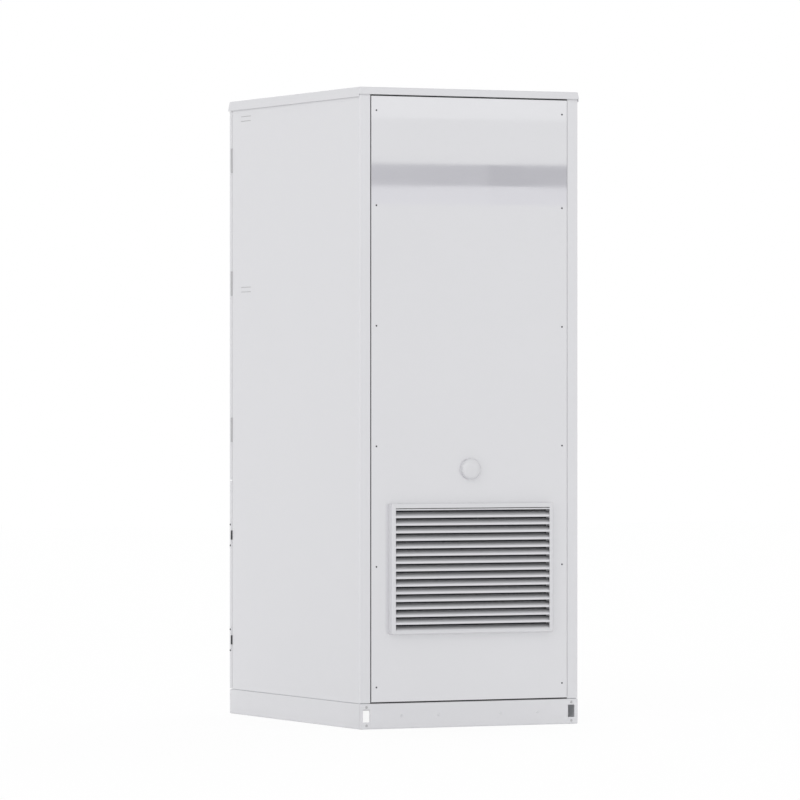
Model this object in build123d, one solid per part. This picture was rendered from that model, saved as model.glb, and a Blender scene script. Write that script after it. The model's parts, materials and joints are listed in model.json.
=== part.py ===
from build123d import *
import math
import os

# Outdoor battery storage cabinet, in millimetres.
# X is the width, with the hinged edge of the doors at +X. The doors face -Y, the louvred
# rear panel faces +Y, Z is up, and the origin is on the floor under the middle of the plinth.

# Overall size
WIDTH = 914.0
DEPTH = 1210.0
HEIGHT = 2400.0
PLINTH_HEIGHT = 96.0

# Sheet metal
SHELL_GAUGE = 2.0
FRAME_GAUGE = 2.5
PLINTH_GAUGE = 3.0
BEND = 1.0
SHAFT_FIT = 0.08
SOFT_GAP = 0.3

# Plinth
PLINTH_FLANGE = 50.0
MITRE_GAP = 0.3
WINDOW_WIDTH = 28.0
WINDOW_SILL = 26.0
WINDOW_LINTEL = 23.0
WINDOW_EDGE = 27.5
WINDOW_CORNER = 2.0
ANCHOR_FROM_SIDE = 67.0
ANCHOR_FROM_END = 30.0
ANCHOR_HOLE_RADIUS = 7.0
PLINTH_SCREW_RADIUS = 5.0
PLINTH_SCREW_HEAD = 2.0
PLINTH_SCREW_PITCH = 155.0
PLINTH_SCREW_FIRST = 130.0
PLINTH_SCREW_MARGIN = 13.5

# Doors and their frame
DOOR_THICKNESS = 21.5
DOOR_SEAM = 2.0
DOOR_SPLIT = 915.0
DOOR_GAP = 3.0
DOOR_EDGE_RADIUS = 2.0
FRONT_RETURN = 45.0
HEADER_DROP = 85.0
HEADER_WEB = 45.0
SILL_HEIGHT = 44.0
MID_RAIL_HEIGHT = 80.0
DOOR_RING_INSET = 8.0
DOOR_RING_WIDTH = 34.0
DOOR_RING_DEPTH = 11.0
DOOR_SEAL_INSET = 18.0
DOOR_SEAL_WIDTH = 14.0
INTAKE_SLOTS = 9
INTAKE_PITCH = 28.0
INTAKE_SLOT = 7.0
INTAKE_SIDE_MARGIN = 197.0
INTAKE_BELOW_SPLIT = 435.0

# Door hinges
KNUCKLE_RADIUS = 5.0
KNUCKLE_RELIEF = 0.5
HINGE_PIN_RADIUS = 3.0
HINGE_LEAF = 3.0
HINGE_LEAF_REACH = 32.0
HINGE_DOOR_REACH = 17.0
HINGE_LEAF_SETBACK = 1.0
UPPER_HINGE_LENGTH = 94.0
UPPER_HINGE_FROM_TOP = 193.0
UPPER_HINGE_FROM_SPLIT = 198.0
MIDDLE_HINGE_RISE = 45.5
LOWER_HINGE_LENGTH = 35.0
LOWER_HINGE_FROM_SPLIT = 215.0
LOWER_HINGE_FROM_PLINTH = 193.0
HINGE_PIN_SINK = 4.0
HINGE_BORE_END = 3.0
STRAP_LENGTH = 100.0
STRAP_WIDTH = 14.0
STRAP_GAUGE = 1.5
STRAP_SCREW_PITCH = 82.0
STRAP_SCREW_RADIUS = 4.0
STRAP_SCREW_HEAD = 1.5

# Door handles and the latch behind them
HANDLE_FROM_EDGE = 87.0
LOWER_HANDLE_BELOW_SPLIT = 355.0
HANDLE_LENGTH = 110.0
HANDLE_STANDOFF = 14.0
HANDLE_THICKNESS = 16.0
HANDLE_HUB_RADIUS = 16.0
HANDLE_TIP_RADIUS = 10.0
HANDLE_EDGE = 3.0
HANDLE_COLLAR_STEP = 2.0
SPINDLE_REACH = 4.0
SPINDLE_RADIUS = 9.0
SHANK_RADIUS = 6.0
CAM_GAUGE = 4.0
CAM_RADIUS = 25.0
CAM_INSET = 13.5
TONGUE_LENGTH = 60.0
TONGUE_WIDTH = 20.0
CAM_PIN_CIRCLE = 20.0
CAM_PIN_RADIUS = 3.0
CAM_PIN_ANGLE = 45.0
CAM_PIN_PROUD = 1.0
CAM_PIN_LAG = 0.6
ROD_WIDTH = 12.0
ROD_GAUGE = 4.0
ROD_GAP = 2.0
ROD_EYE_HEIGHT = 16.0
ROD_EYE_WALL = 3.0
ROD_TIP_MARGIN = 8.0
ROD_EYE_LAP = 1.5
GUIDE_WALL = 3.0
GUIDE_HEIGHT = 18.0
GUIDE_FROM_HANDLE = 180.0
GUIDE_FROM_DOOR_END = 162.0

# Side panels
REAR_RETURN = 45.0
PANEL_FLANGE = 40.0
BODY_GAP = 2.0
GROOVE_LENGTH = 96.0
GROOVE_HEIGHT = 3.0
GROOVE_DEPTH = 0.8
GROOVE_FROM_FRONT = 133.5
GROOVE_PITCH = 18.0
GROOVE_BELOW_SKIRT = 27.0
GROOVE_BELOW_HINGE = 16.5

# Roof
ROOF_SKIRT = 37.0
ROOF_REAR_SKIRT = 27.5
ROOF_OVERHANG = 5.0
ROOF_LEAN = 5.5
ROOF_EDGE_RADIUS = 4.0
ROOF_GAUGE = 2.0
ROOF_DECK_DROP = 60.0
WALL_LAP = 13.0

# Rear panel
PANEL_PROUD = 2.0
PANEL_SEAM = 2.0
PANEL_BOTTOM_GAP = 5.0
PANEL_TOP_GAP = 6.0
REAR_SEAL_THICKNESS = 5.0
REAR_SEAL_WIDTH = 32.0
REAR_SEAL_OUTSET = 0.9
REAR_SEAL_END_OUTSET = 4.5
PANEL_SCREW_FROM_SIDE = 21.0
PANEL_SCREW_FROM_END = 55.0
PANEL_SCREW_FROM_TOP = 53.5
PANEL_SCREW_LAST_GAP = 355.0
PANEL_SCREW_ROWS = 5
PANEL_SCREW_RADIUS = 3.2
PANEL_SCREW_HEAD = 1.2
PANEL_SCREW_SHANK = 2.4
STIFFENER_WIDTH = 60.0
STIFFENER_DEPTH = 18.0
STIFFENER_ABOVE_VENT = 330.0
STIFFENER_BELOW_TOP = 470.0
STIFFENER_END_GAP = 4.0

# Louvre hood on the rear panel
HOOD_SIDE_MARGIN = 73.0
HOOD_HEIGHT = 489.0
HOOD_BELOW_SPLIT = 317.5
HOOD_DEPTH = 29.0
HOOD_SILL = 12.0
HOOD_LINTEL = 17.0
HOOD_JAMB = 15.0
HOOD_GAUGE = 2.0
HOOD_EDGE_RADIUS = 6.0
HOOD_RIM_RADIUS = 4.8
SLAT_COUNT = 17
SLAT_GAUGE = 1.5
SLAT_LIP = 7.0
SLAT_DROP = 13.5
SLAT_RUN = 20.0
SLAT_RISE = 1.5
SLAT_BOTTOM_GAP = 6.0
SLAT_TOP_GAP = 1.0
FILTER_DEPTH = 10.0
FILTER_MARGIN = 11.0
FILTER_BARS = 8
FILTER_BAR_WIDTH = 3.0

# Pressure vent
VENT_ABOVE_SPLIT = 55.0
VENT_RADIUS = 39.0
VENT_DEPTH = 27.0
VENT_EDGE = 6.0
VENT_WALL = 2.5
VENT_BORE_RADIUS = 16.0
VENT_THREAD_RADIUS = 20.0
VENT_NUT_RADIUS = 28.0
VENT_NUT_HEIGHT = 8.0
VENT_SLOTS = 3
VENT_SLOT_ANGLE = 30.0
VENT_SLOT_CUT = 10.0
VENT_SLOT_WIDTH = 9.0
VENT_SLOT_HEIGHT = 5.0
VENT_SPIGOT_SHARE = 0.55
VENT_SPIGOT_WALL = 4.0
VENT_THREAD_TAIL = 6.0

# Battery rack
POST_SIZE = 40.0
POST_FROM_WALL = 5.0
RACK_FRONT_SETBACK = 120.0
RACK_REAR_GAP = 55.0
RACK_LEVELS = 5
RACK_CLEAR = 10.0
RUNNER_LEG = 40.0
PACK_SIDE_GAP = 20.0
PACK_AIR_GAP = 27.0
PACK_EDGE_RADIUS = 10.0
PACK_RIB_WIDTH = 40.0
PACK_RIB_DEPTH = 6.0
PACK_RIBS = 5
PACK_RIB_END = 60.0
PACK_FACE_THICKNESS = 6.0
PACK_FACE_LIP = 4.0
PULL_WIDTH = 110.0
PULL_DEPTH = 34.0
PULL_BAR = 10.0
PULL_BEND = 6.0
SOCKET_WIDTH = 34.0
SOCKET_HEIGHT = 28.0
SOCKET_DEPTH = 22.0
SOCKET_FROM_MIDDLE = 70.0
PORT_RADIUS = 9.0
PORT_DEPTH = 30.0
PORT_FROM_SIDE = 45.0
PORT_FROM_BOTTOM = 49.0

# Coolant manifolds
MANIFOLD_RADIUS = 14.0
MANIFOLD_SETBACK = 50.0
MANIFOLD_TAIL = 60.0
MANIFOLD_FLANGE = 5.0
MANIFOLD_FLANGE_HEIGHT = 12.0
MANIFOLD_BRANCH_STEP = 1.0

# High-voltage control box
CONTROL_HEIGHT = 112.0
CONTROL_DEPTH = 640.0
CONTROL_EDGE = 4.0
CONTROL_HEADROOM = 38.0
ISOLATOR_TO_STOP = 120.0
ISOLATOR_RADIUS = 26.0
ISOLATOR_DEPTH = 12.0
ISOLATOR_BAR = 62.0
ISOLATOR_BAR_WIDTH = 14.0
ISOLATOR_BAR_DEPTH = 16.0
ISOLATOR_SHAFT_RADIUS = 6.0
STOP_FROM_SIDE = 90.0
STOP_RADIUS = 20.0
STOP_COLLAR_RADIUS = 24.0
STOP_COLLAR_DEPTH = 10.0
STOP_STEM_RADIUS = 8.0
STOP_TRAVEL = 6.0
STOP_HEAD_DEPTH = 14.0
STOP_HEAD_EDGE = 6.0
STOP_BORE_DEPTH = 20.0
STOP_BORE_END = 2.0

# Cooling unit behind the louvre
UNIT_SIDE_GAP = 25.5
UNIT_REAR_GAP = 4.0
UNIT_HEADROOM = 11.5
UNIT_DEPTH = 430.0
COIL_DEPTH = 50.0
COIL_HEIGHT = 500.0
COIL_MARGIN = 20.0
COIL_FINS = 20
COIL_FIN_GROOVE = 12.0
COIL_GROOVE_DEPTH = 8.0
COIL_FROM_REAR = 123.0
FAN_RADIUS = 196.0
FAN_TIP_GAP = 6.0
DUCT_LENGTH = 60.0
DUCT_WALL = 2.0
HUB_RADIUS = 46.0
HUB_LENGTH = 34.0
FAN_BLADES = 7
BLADE_GAUGE = 3.0
BLADE_ROOT_CHORD = 44.0
BLADE_TIP_CHORD = 62.0
BLADE_ROOT_PITCH = 42.0
BLADE_TIP_PITCH = 24.0
FAN_SHAFT_RADIUS = 6.0
HUB_CAP = 6.0
HUB_GAP = 2.0
BLADE_SINK = 6.0
MOTOR_RADIUS = 44.0
MOTOR_LENGTH = 30.0
MOTOR_EDGE = 4.0
SPIDER_ARMS = 4
SPIDER_WIDTH = 16.0
SPIDER_LAP = 1.0
SPIDER_FIRST_ANGLE = 45.0
COMPRESSOR_RADIUS = 75.0
COMPRESSOR_HEIGHT = 290.0
COMPRESSOR_FROM_WALL = 166.5
COMPRESSOR_FROM_COIL = 130.0
COMPRESSOR_DOME = 40.0
COMPRESSOR_SHOULDER = 12.0
COMPRESSOR_FOOT = 4.0
COMPRESSOR_PAD = 24.0
COMPRESSOR_PAD_HEIGHT = 6.0

# Inverter in the front of the lower compartment
INVERTER_FROM_POST = 50.0
INVERTER_SETBACK = 20.0
INVERTER_DEPTH = 360.0
INVERTER_HEIGHT = 560.0
INVERTER_EDGE = 6.0
INVERTER_FINS = 22
INVERTER_FIN_DEPTH = 22.0
INVERTER_FIN_GAP = 12.0
INVERTER_FIN_FOOT = 30.0

# Fire canister, detector and cable entry
CANISTER_RADIUS = 55.0
CANISTER_HEIGHT = 400.0
CANISTER_NECK_RADIUS = 18.0
CANISTER_NECK = 30.0
CANISTER_SHOULDER = 25.0
CANISTER_FROM_POST = 110.0
CANISTER_SETBACK = 131.5
CLAMP_GAUGE = 3.0
CLAMP_HEIGHT = 30.0
CLAMP_REACH = 85.0
CLAMP_ARM_WIDTH = 24.0
CLAMP_FOOT_WIDTH = 60.0
DETECTOR_RADIUS = 50.0
DETECTOR_HEIGHT = 42.0
DETECTOR_SETBACK = 71.5
DETECTOR_BASE_HEIGHT = 17.0
DETECTOR_GAP_HEIGHT = 23.0
DETECTOR_NECK_RADIUS = 35.0
DETECTOR_TIP_RADIUS = 30.0
GLAND_PLATE_WIDTH = 340.0
GLAND_PLATE_DEPTH = 90.0
GLAND_PLATE_SETBACK = 76.5
GLAND_PLATE_LAP = 12.0
GLAND_COUNT = 4
GLAND_PITCH = 78.0
GLAND_HEX_RADIUS = 29.0
GLAND_NUT_RADIUS = 24.0
GLAND_MOUTH = 2.0
GLAND_BORE_RADIUS = 16.0
GLAND_HEIGHT = 34.0
GLAND_THREAD_RADIUS = 20.0
GLAND_TAIL = 22.0

# Places that follow from the sizes above
HALF_WIDTH = WIDTH / 2
DOOR_FACE = -DEPTH / 2
DOOR_BACK = DOOR_FACE + DOOR_THICKNESS
FRONT = DOOR_BACK + DOOR_SEAM
PANEL_FACE = DEPTH / 2
REAR = PANEL_FACE - PANEL_PROUD
PANEL_BACK = PANEL_FACE - SHELL_GAUGE
SEAL_SEAT = PANEL_BACK - REAR_SEAL_THICKNESS
WALL_INNER = HALF_WIDTH - SHELL_GAUGE
FRAME_FRONT = FRONT + SHELL_GAUGE
FRAME_FRONT_BACK = FRAME_FRONT + FRAME_GAUGE
FRAME_REAR = SEAL_SEAT - SHELL_GAUGE
FRAME_REAR_BACK = FRAME_REAR - FRAME_GAUGE
FLOOR_TOP = PLINTH_HEIGHT + FRAME_GAUGE
BODY_BOTTOM = PLINTH_HEIGHT + BODY_GAP
ROOF_UNDERSIDE = HEIGHT - ROOF_GAUGE
SKIRT_BOTTOM = HEIGHT - ROOF_SKIRT
WALL_TOP = SKIRT_BOTTOM + WALL_LAP
DECK_BOTTOM = HEIGHT - ROOF_DECK_DROP
FRAME_HALF_WIDTH = WALL_INNER - FRAME_GAUGE
MID_RAIL_BOTTOM = DOOR_SPLIT - MID_RAIL_HEIGHT / 2
MID_RAIL_TOP = DOOR_SPLIT + MID_RAIL_HEIGHT / 2
SHELF_TOP = MID_RAIL_BOTTOM + FRAME_GAUGE + SHELL_GAUGE
HEADER_BOTTOM = HEIGHT - HEADER_DROP
ANCHOR_X = HALF_WIDTH - ANCHOR_FROM_SIDE
ANCHOR_Y = PANEL_FACE - ANCHOR_FROM_END
WINDOW_HEIGHT = PLINTH_HEIGHT - WINDOW_SILL - WINDOW_LINTEL
PANEL_HALF_WIDTH = HALF_WIDTH - REAR_RETURN - PANEL_SEAM
PANEL_BOTTOM = PLINTH_HEIGHT + PANEL_BOTTOM_GAP
PANEL_TOP = HEIGHT - ROOF_REAR_SKIRT - PANEL_TOP_GAP
PANEL_SCREW_X = PANEL_HALF_WIDTH - PANEL_SCREW_FROM_SIDE
PANEL_SCREW_FIRST = PANEL_BOTTOM + PANEL_SCREW_FROM_END
PANEL_SCREW_TOP = PANEL_TOP - PANEL_SCREW_FROM_TOP
PANEL_SCREW_SPAN = PANEL_SCREW_TOP - PANEL_SCREW_LAST_GAP - PANEL_SCREW_FIRST
PANEL_SCREW_PITCH = PANEL_SCREW_SPAN / (PANEL_SCREW_ROWS - 1)
HOOD_WIDTH = 2 * (PANEL_HALF_WIDTH - HOOD_SIDE_MARGIN)
HOOD_CENTRE = DOOR_SPLIT - HOOD_BELOW_SPLIT
SLAT_HEIGHT = SLAT_LIP + SLAT_DROP + SLAT_RISE
SLAT_FIRST = HOOD_CENTRE - HOOD_HEIGHT / 2 + HOOD_GAUGE + SLAT_BOTTOM_GAP
SLAT_LAST = HOOD_CENTRE + HOOD_HEIGHT / 2 - HOOD_GAUGE - SLAT_TOP_GAP - SLAT_HEIGHT
SLAT_PITCH = (SLAT_LAST - SLAT_FIRST) / (SLAT_COUNT - 1)
VENT_HEIGHT = DOOR_SPLIT + VENT_ABOVE_SPLIT
VENT_SPIGOT_LENGTH = VENT_DEPTH * VENT_SPIGOT_SHARE
STIFFENER_HEIGHTS = (VENT_HEIGHT + STIFFENER_ABOVE_VENT, PANEL_TOP - STIFFENER_BELOW_TOP)
UPPER_DOOR_BOTTOM = DOOR_SPLIT + DOOR_GAP / 2
UPPER_DOOR_TOP = SKIRT_BOTTOM - DOOR_SEAM
LOWER_DOOR_BOTTOM = PLINTH_HEIGHT + DOOR_GAP
LOWER_DOOR_TOP = DOOR_SPLIT - DOOR_GAP / 2
HINGE_X = HALF_WIDTH
HINGE_Y = (DOOR_BACK + FRONT) / 2
TOP_HINGE = UPPER_DOOR_TOP - UPPER_HINGE_FROM_TOP
LOW_HINGE = DOOR_SPLIT + UPPER_HINGE_FROM_SPLIT
MIDDLE_HINGE = (TOP_HINGE + LOW_HINGE) / 2 + MIDDLE_HINGE_RISE
UPPER_HINGE_HEIGHTS = (TOP_HINGE, MIDDLE_HINGE, LOW_HINGE)
LOWER_HINGE_HEIGHTS = (
    DOOR_SPLIT - LOWER_HINGE_FROM_SPLIT,
    PLINTH_HEIGHT + LOWER_HINGE_FROM_PLINTH,
)
TOP_GROOVE = SKIRT_BOTTOM - GROOVE_BELOW_SKIRT
MIDDLE_GROOVE = MIDDLE_HINGE - GROOVE_BELOW_HINGE
GROOVE_HEIGHTS = (
    TOP_GROOVE,
    TOP_GROOVE - GROOVE_PITCH,
    MIDDLE_GROOVE,
    MIDDLE_GROOVE - GROOVE_PITCH,
)
INTAKE_LENGTH = WIDTH - 2 * INTAKE_SIDE_MARGIN
INTAKE_CENTRE = DOOR_SPLIT - INTAKE_BELOW_SPLIT
UPPER_HANDLE_HEIGHT = (UPPER_DOOR_BOTTOM + UPPER_DOOR_TOP) / 2
LOWER_HANDLE_HEIGHT = DOOR_SPLIT - LOWER_HANDLE_BELOW_SPLIT
FAR_GUIDE = (UPPER_DOOR_TOP - UPPER_DOOR_BOTTOM) / 2 - GUIDE_FROM_DOOR_END
GUIDE_OFFSETS = (GUIDE_FROM_HANDLE, FAR_GUIDE)
HANDLE_X = -(HALF_WIDTH - HANDLE_FROM_EDGE)
CAM_FRONT = FRONT + CAM_INSET
ROD_FRONT = CAM_FRONT - ROD_GAP - ROD_GAUGE
ROD_SPREAD = CAM_PIN_CIRCLE * (1 + math.cos(math.radians(CAM_PIN_ANGLE))) / 2
ROD_TRAVEL = 2 * CAM_PIN_CIRCLE * math.sin(math.radians(CAM_PIN_ANGLE))
RACK_FRONT = FRONT + RACK_FRONT_SETBACK
RACK_REAR = FRAME_REAR_BACK - RACK_REAR_GAP
RACK_FIRST = MID_RAIL_TOP + RACK_CLEAR
CONTROL_BOTTOM = DECK_BOTTOM - CONTROL_HEADROOM - CONTROL_HEIGHT
RACK_PITCH = (CONTROL_BOTTOM - RACK_FIRST) / RACK_LEVELS
POST_OUTER = WALL_INNER - POST_FROM_WALL
POST_INNER = POST_OUTER - POST_SIZE
PACK_WIDTH = 2 * (POST_INNER - PACK_SIDE_GAP)
PACK_HEIGHT = RACK_PITCH - PACK_AIR_GAP
PORT_FROM_MIDDLE = PACK_WIDTH / 2 - PORT_FROM_SIDE
PULL_FROM_MIDDLE = (SOCKET_FROM_MIDDLE + PORT_FROM_MIDDLE) / 2
STOP_X = PACK_WIDTH / 2 - STOP_FROM_SIDE
ISOLATOR_X = STOP_X - ISOLATOR_TO_STOP
CONTROL_MIDDLE = CONTROL_BOTTOM + CONTROL_HEIGHT / 2
UNIT_WIDTH = 2 * (HALF_WIDTH - REAR_RETURN - PANEL_FLANGE - UNIT_SIDE_GAP)
UNIT_HEIGHT = MID_RAIL_BOTTOM - FLOOR_TOP - UNIT_HEADROOM
UNIT_REAR = FRAME_REAR_BACK - UNIT_REAR_GAP
COIL_REAR = UNIT_REAR - COIL_FROM_REAR + SHELL_GAUGE
COIL_BOTTOM = HOOD_CENTRE - COIL_HEIGHT / 2
COIL_TOP = HOOD_CENTRE + COIL_HEIGHT / 2
MOTOR_FRONT = COIL_REAR + 2 * SHELL_GAUGE + MOTOR_LENGTH
HUB_BACK = MOTOR_FRONT + HUB_GAP
COMPRESSOR_X = COMPRESSOR_FROM_WALL - UNIT_WIDTH / 2
COMPRESSOR_Y = COIL_REAR - COIL_DEPTH - COMPRESSOR_FROM_COIL
CANISTER_X = POST_INNER - CANISTER_FROM_POST
CANISTER_Y = RACK_FRONT + CANISTER_SETBACK
INVERTER_LEFT = INVERTER_FROM_POST - POST_INNER
INVERTER_RIGHT = CANISTER_X - CANISTER_RADIUS - CLAMP_REACH
INVERTER_FRONT = RACK_FRONT + INVERTER_SETBACK
DETECTOR_Y = FRONT + DETECTOR_SETBACK
GLAND_PLATE_Y = FRONT + GLAND_PLATE_SETBACK


def block(x0, x1, y0, y1, z0, z1):
    """A box from its lowest and highest corners."""
    centre = ((x0 + x1) / 2, (y0 + y1) / 2, (z0 + z1) / 2)
    return Pos(*centre) * Box(x1 - x0, y1 - y0, z1 - z0)


def run_x(face, x0, x1):
    """A section drawn in Y and Z, run along X."""
    return extrude(Plane.YZ.offset(x0) * face, x1 - x0, dir=(1, 0, 0))


def run_y(face, y0, y1):
    """A section drawn in X and Z, run along Y."""
    return extrude(Plane.XZ.offset(-y1) * face, y1 - y0, dir=(0, -1, 0))


def run_z(face, z0, z1):
    """A section drawn in X and Y, run along Z."""
    return extrude(Plane.XY.offset(z0) * face, z1 - z0, dir=(0, 0, 1))


def disc_y(x, z, radius, y0, y1):
    """A round bar along Y."""
    return run_y(Pos(x, z) * Circle(radius), y0, y1)


def disc_z(x, y, radius, z0, z1):
    """A round bar along Z."""
    return run_z(Pos(x, y) * Circle(radius), z0, z1)


def folded(path, gauge, bend=BEND):
    """The section of a folded sheet whose middle line follows the path, with round bends."""
    points = [Vector(u, v) for u, v in path]
    middle = bend + gauge / 2
    sides = []
    for side in (gauge / 2, -gauge / 2):
        edges = []
        start = None
        for i, here in enumerate(points):
            ahead = (points[i + 1] - here).normalized() if i + 1 < len(points) else None
            behind = (here - points[i - 1]).normalized() if i > 0 else None
            if behind is None:
                start = here + Vector(-ahead.Y, ahead.X) * side
                continue
            if ahead is None:
                end = here + Vector(-behind.Y, behind.X) * side
                edges.append(Line(start, end))
                continue
            left_in = Vector(-behind.Y, behind.X)
            left_out = Vector(-ahead.Y, ahead.X)
            cross = behind.X * ahead.Y - behind.Y * ahead.X
            turn = math.atan2(cross, behind.X * ahead.X + behind.Y * ahead.Y)
            sign = 1 if turn > 0 else -1
            back = middle * math.tan(abs(turn) / 2)
            centre = here - behind * back + left_in * (sign * middle)
            radius = middle - sign * side
            outward = (here - centre).normalized()
            arc_start = here - behind * back + left_in * side
            arc_end = here + ahead * back + left_out * side
            edges.append(Line(start, arc_start))
            edges.append(ThreePointArc(arc_start, centre + outward * radius, arc_end))
            start = arc_end
        sides.append(edges)
    first, second = sides
    caps = [Line(first[0] @ 0, second[0] @ 0), Line(first[-1] @ 1, second[-1] @ 1)]
    return make_face(Curve() + first + second + caps)


def frame_ring(x_half, z0, z1, width, y0, y1):
    """A flat picture frame, from its outer size and the width of its sides."""
    outer = block(-x_half, x_half, y0, y1, z0, z1)
    inner = block(-x_half + width, x_half - width, y0 - 1, y1 + 1, z0 + width, z1 - width)
    return outer - inner


def mirrored_x(shape):
    return mirror(shape, Plane.YZ)


def mirrored_y(shape):
    return mirror(shape, Plane.XZ)


# Plinth


def plinth_channel(half_length, face):
    """A C-channel along X with its web at +Y, cut to a mitre at both ends."""
    middle = PLINTH_GAUGE / 2
    inner = face - PLINTH_FLANGE
    path = (
        (inner, middle),
        (face - middle, middle),
        (face - middle, PLINTH_HEIGHT - middle),
        (inner, PLINTH_HEIGHT - middle),
    )
    channel = run_x(folded(path, PLINTH_GAUGE), -half_length, half_length)
    reach = PLINTH_FLANGE + 1
    outline = Polygon(
        (-half_length + MITRE_GAP, face),
        (half_length - MITRE_GAP, face),
        (half_length - MITRE_GAP - reach, face - reach),
        (-half_length + MITRE_GAP + reach, face - reach),
        align=None,
    )
    return channel & run_z(outline, 0, PLINTH_HEIGHT)


def window_centres():
    z = WINDOW_SILL + WINDOW_HEIGHT / 2
    x = HALF_WIDTH - WINDOW_EDGE
    return ((-x, z), (x, z))


def plinth_screw_places():
    """Where the screws stand in the front and rear plinth rails."""
    places = []
    z_mid = PLINTH_HEIGHT / 2
    for sign in (-1, 1):
        for step in range(2):
            places.append((sign * (PLINTH_SCREW_FIRST + step * PLINTH_SCREW_PITCH), z_mid))
        for z in (PLINTH_SCREW_MARGIN, PLINTH_HEIGHT - PLINTH_SCREW_MARGIN):
            places.append((sign * (HALF_WIDTH - WINDOW_EDGE), z))
    return places


def make_plinth_rear_rail():
    rail = plinth_channel(HALF_WIDTH, REAR)
    for x, z in window_centres():
        window = RectangleRounded(WINDOW_WIDTH, WINDOW_HEIGHT, WINDOW_CORNER)
        rail -= run_y(Pos(x, z) * window, REAR - PLINTH_GAUGE - 1, REAR + 1)
    for sign in (-1, 1):
        rail -= disc_z(sign * ANCHOR_X, ANCHOR_Y, ANCHOR_HOLE_RADIUS, -1, PLINTH_GAUGE + 1)
    return rail


def make_plinth_front_rail():
    return mirrored_y(make_plinth_rear_rail())


def make_plinth_right_rail():
    return Rot(0, 0, -90) * plinth_channel(REAR, HALF_WIDTH)


def make_plinth_left_rail():
    return mirrored_x(make_plinth_right_rail())


def make_plinth_screws():
    """Low round heads on the front and rear rails."""
    screws = []
    for x, z in plinth_screw_places():
        screw = disc_y(x, z, PLINTH_SCREW_RADIUS, REAR, REAR + PLINTH_SCREW_HEAD)
        screws.append(screw)
        screws.append(mirrored_y(screw))
    return screws


# Base


def gland_centres():
    first = -(GLAND_COUNT - 1) * GLAND_PITCH / 2
    return [first + i * GLAND_PITCH for i in range(GLAND_COUNT)]


def make_base_tray():
    """The floor pan with upstands that the side panels and the rear panel fasten to."""
    top = PLINTH_HEIGHT + SILL_HEIGHT
    outer = block(-WALL_INNER, WALL_INNER, FRAME_FRONT, FRAME_REAR, PLINTH_HEIGHT, top)
    outer = fillet(outer.edges().filter_by(Axis.Z), BEND + 1)
    inner = block(
        -WALL_INNER + FRAME_GAUGE,
        WALL_INNER - FRAME_GAUGE,
        FRAME_FRONT_BACK,
        FRAME_REAR_BACK,
        FLOOR_TOP,
        top + 1,
    )
    tray = outer - inner
    half_x = GLAND_PLATE_WIDTH / 2 - GLAND_PLATE_LAP
    half_y = GLAND_PLATE_DEPTH / 2 - GLAND_PLATE_LAP
    return tray - block(
        -half_x,
        half_x,
        GLAND_PLATE_Y - half_y,
        GLAND_PLATE_Y + half_y,
        PLINTH_HEIGHT - 1,
        FLOOR_TOP + 1,
    )


def make_gland_plate():
    plate = block(
        -GLAND_PLATE_WIDTH / 2,
        GLAND_PLATE_WIDTH / 2,
        GLAND_PLATE_Y - GLAND_PLATE_DEPTH / 2,
        GLAND_PLATE_Y + GLAND_PLATE_DEPTH / 2,
        FLOOR_TOP,
        FLOOR_TOP + PLINTH_GAUGE,
    )
    for x in gland_centres():
        plate -= disc_z(x, GLAND_PLATE_Y, GLAND_THREAD_RADIUS, FLOOR_TOP - 1, FLOOR_TOP + PLINTH_GAUGE + 1)
    return plate


def make_cable_glands():
    """Hexagon bodies with a tapered nut above the plate and a threaded tail below it."""
    seat = FLOOR_TOP + PLINTH_GAUGE
    glands = []
    for x in gland_centres():
        place = Pos(x, GLAND_PLATE_Y)
        body = run_z(place * RegularPolygon(GLAND_HEX_RADIUS, 6), seat, seat + GLAND_HEIGHT / 2)
        nut_seat = Plane.XY.offset(seat + GLAND_HEIGHT / 2) * (place * Circle(GLAND_NUT_RADIUS))
        nut_mouth = Plane.XY.offset(seat + GLAND_HEIGHT) * (
            place * Circle(GLAND_BORE_RADIUS + GLAND_MOUTH)
        )
        body += loft([nut_seat, nut_mouth])
        body += disc_z(x, GLAND_PLATE_Y, GLAND_THREAD_RADIUS, seat - GLAND_TAIL, seat)
        bore = disc_z(
            x, GLAND_PLATE_Y, GLAND_BORE_RADIUS, seat - GLAND_TAIL - 1, seat + GLAND_HEIGHT + 1
        )
        glands.append(body - bore)
    return glands


# Shell


def side_panel():
    """One folded sheet: door-frame return, grooved wall, rear strip, step and seal flange."""
    middle = SHELL_GAUGE / 2
    wall = HALF_WIDTH - middle
    step = HALF_WIDTH - REAR_RETURN + middle
    path = (
        (HALF_WIDTH - FRONT_RETURN, FRONT + middle),
        (wall, FRONT + middle),
        (wall, REAR - middle),
        (step, REAR - middle),
        (step, SEAL_SEAT - middle),
        (HALF_WIDTH - REAR_RETURN - PANEL_FLANGE, SEAL_SEAT - middle),
    )
    panel = run_z(folded(path, SHELL_GAUGE), BODY_BOTTOM, WALL_TOP)
    for z in GROOVE_HEIGHTS:
        groove = Pos(FRONT + GROOVE_FROM_FRONT, z) * SlotOverall(GROOVE_LENGTH, GROOVE_HEIGHT)
        panel -= run_x(groove, HALF_WIDTH - GROOVE_DEPTH, HALF_WIDTH + 1)
    return panel


def make_side_panel_left():
    return mirrored_x(side_panel())


def make_side_panel_right():
    """The hinged side, relieved for the knuckles."""
    panel = side_panel()
    for z in hinge_heights():
        panel -= knuckle_relief(z)
    return panel


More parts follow.
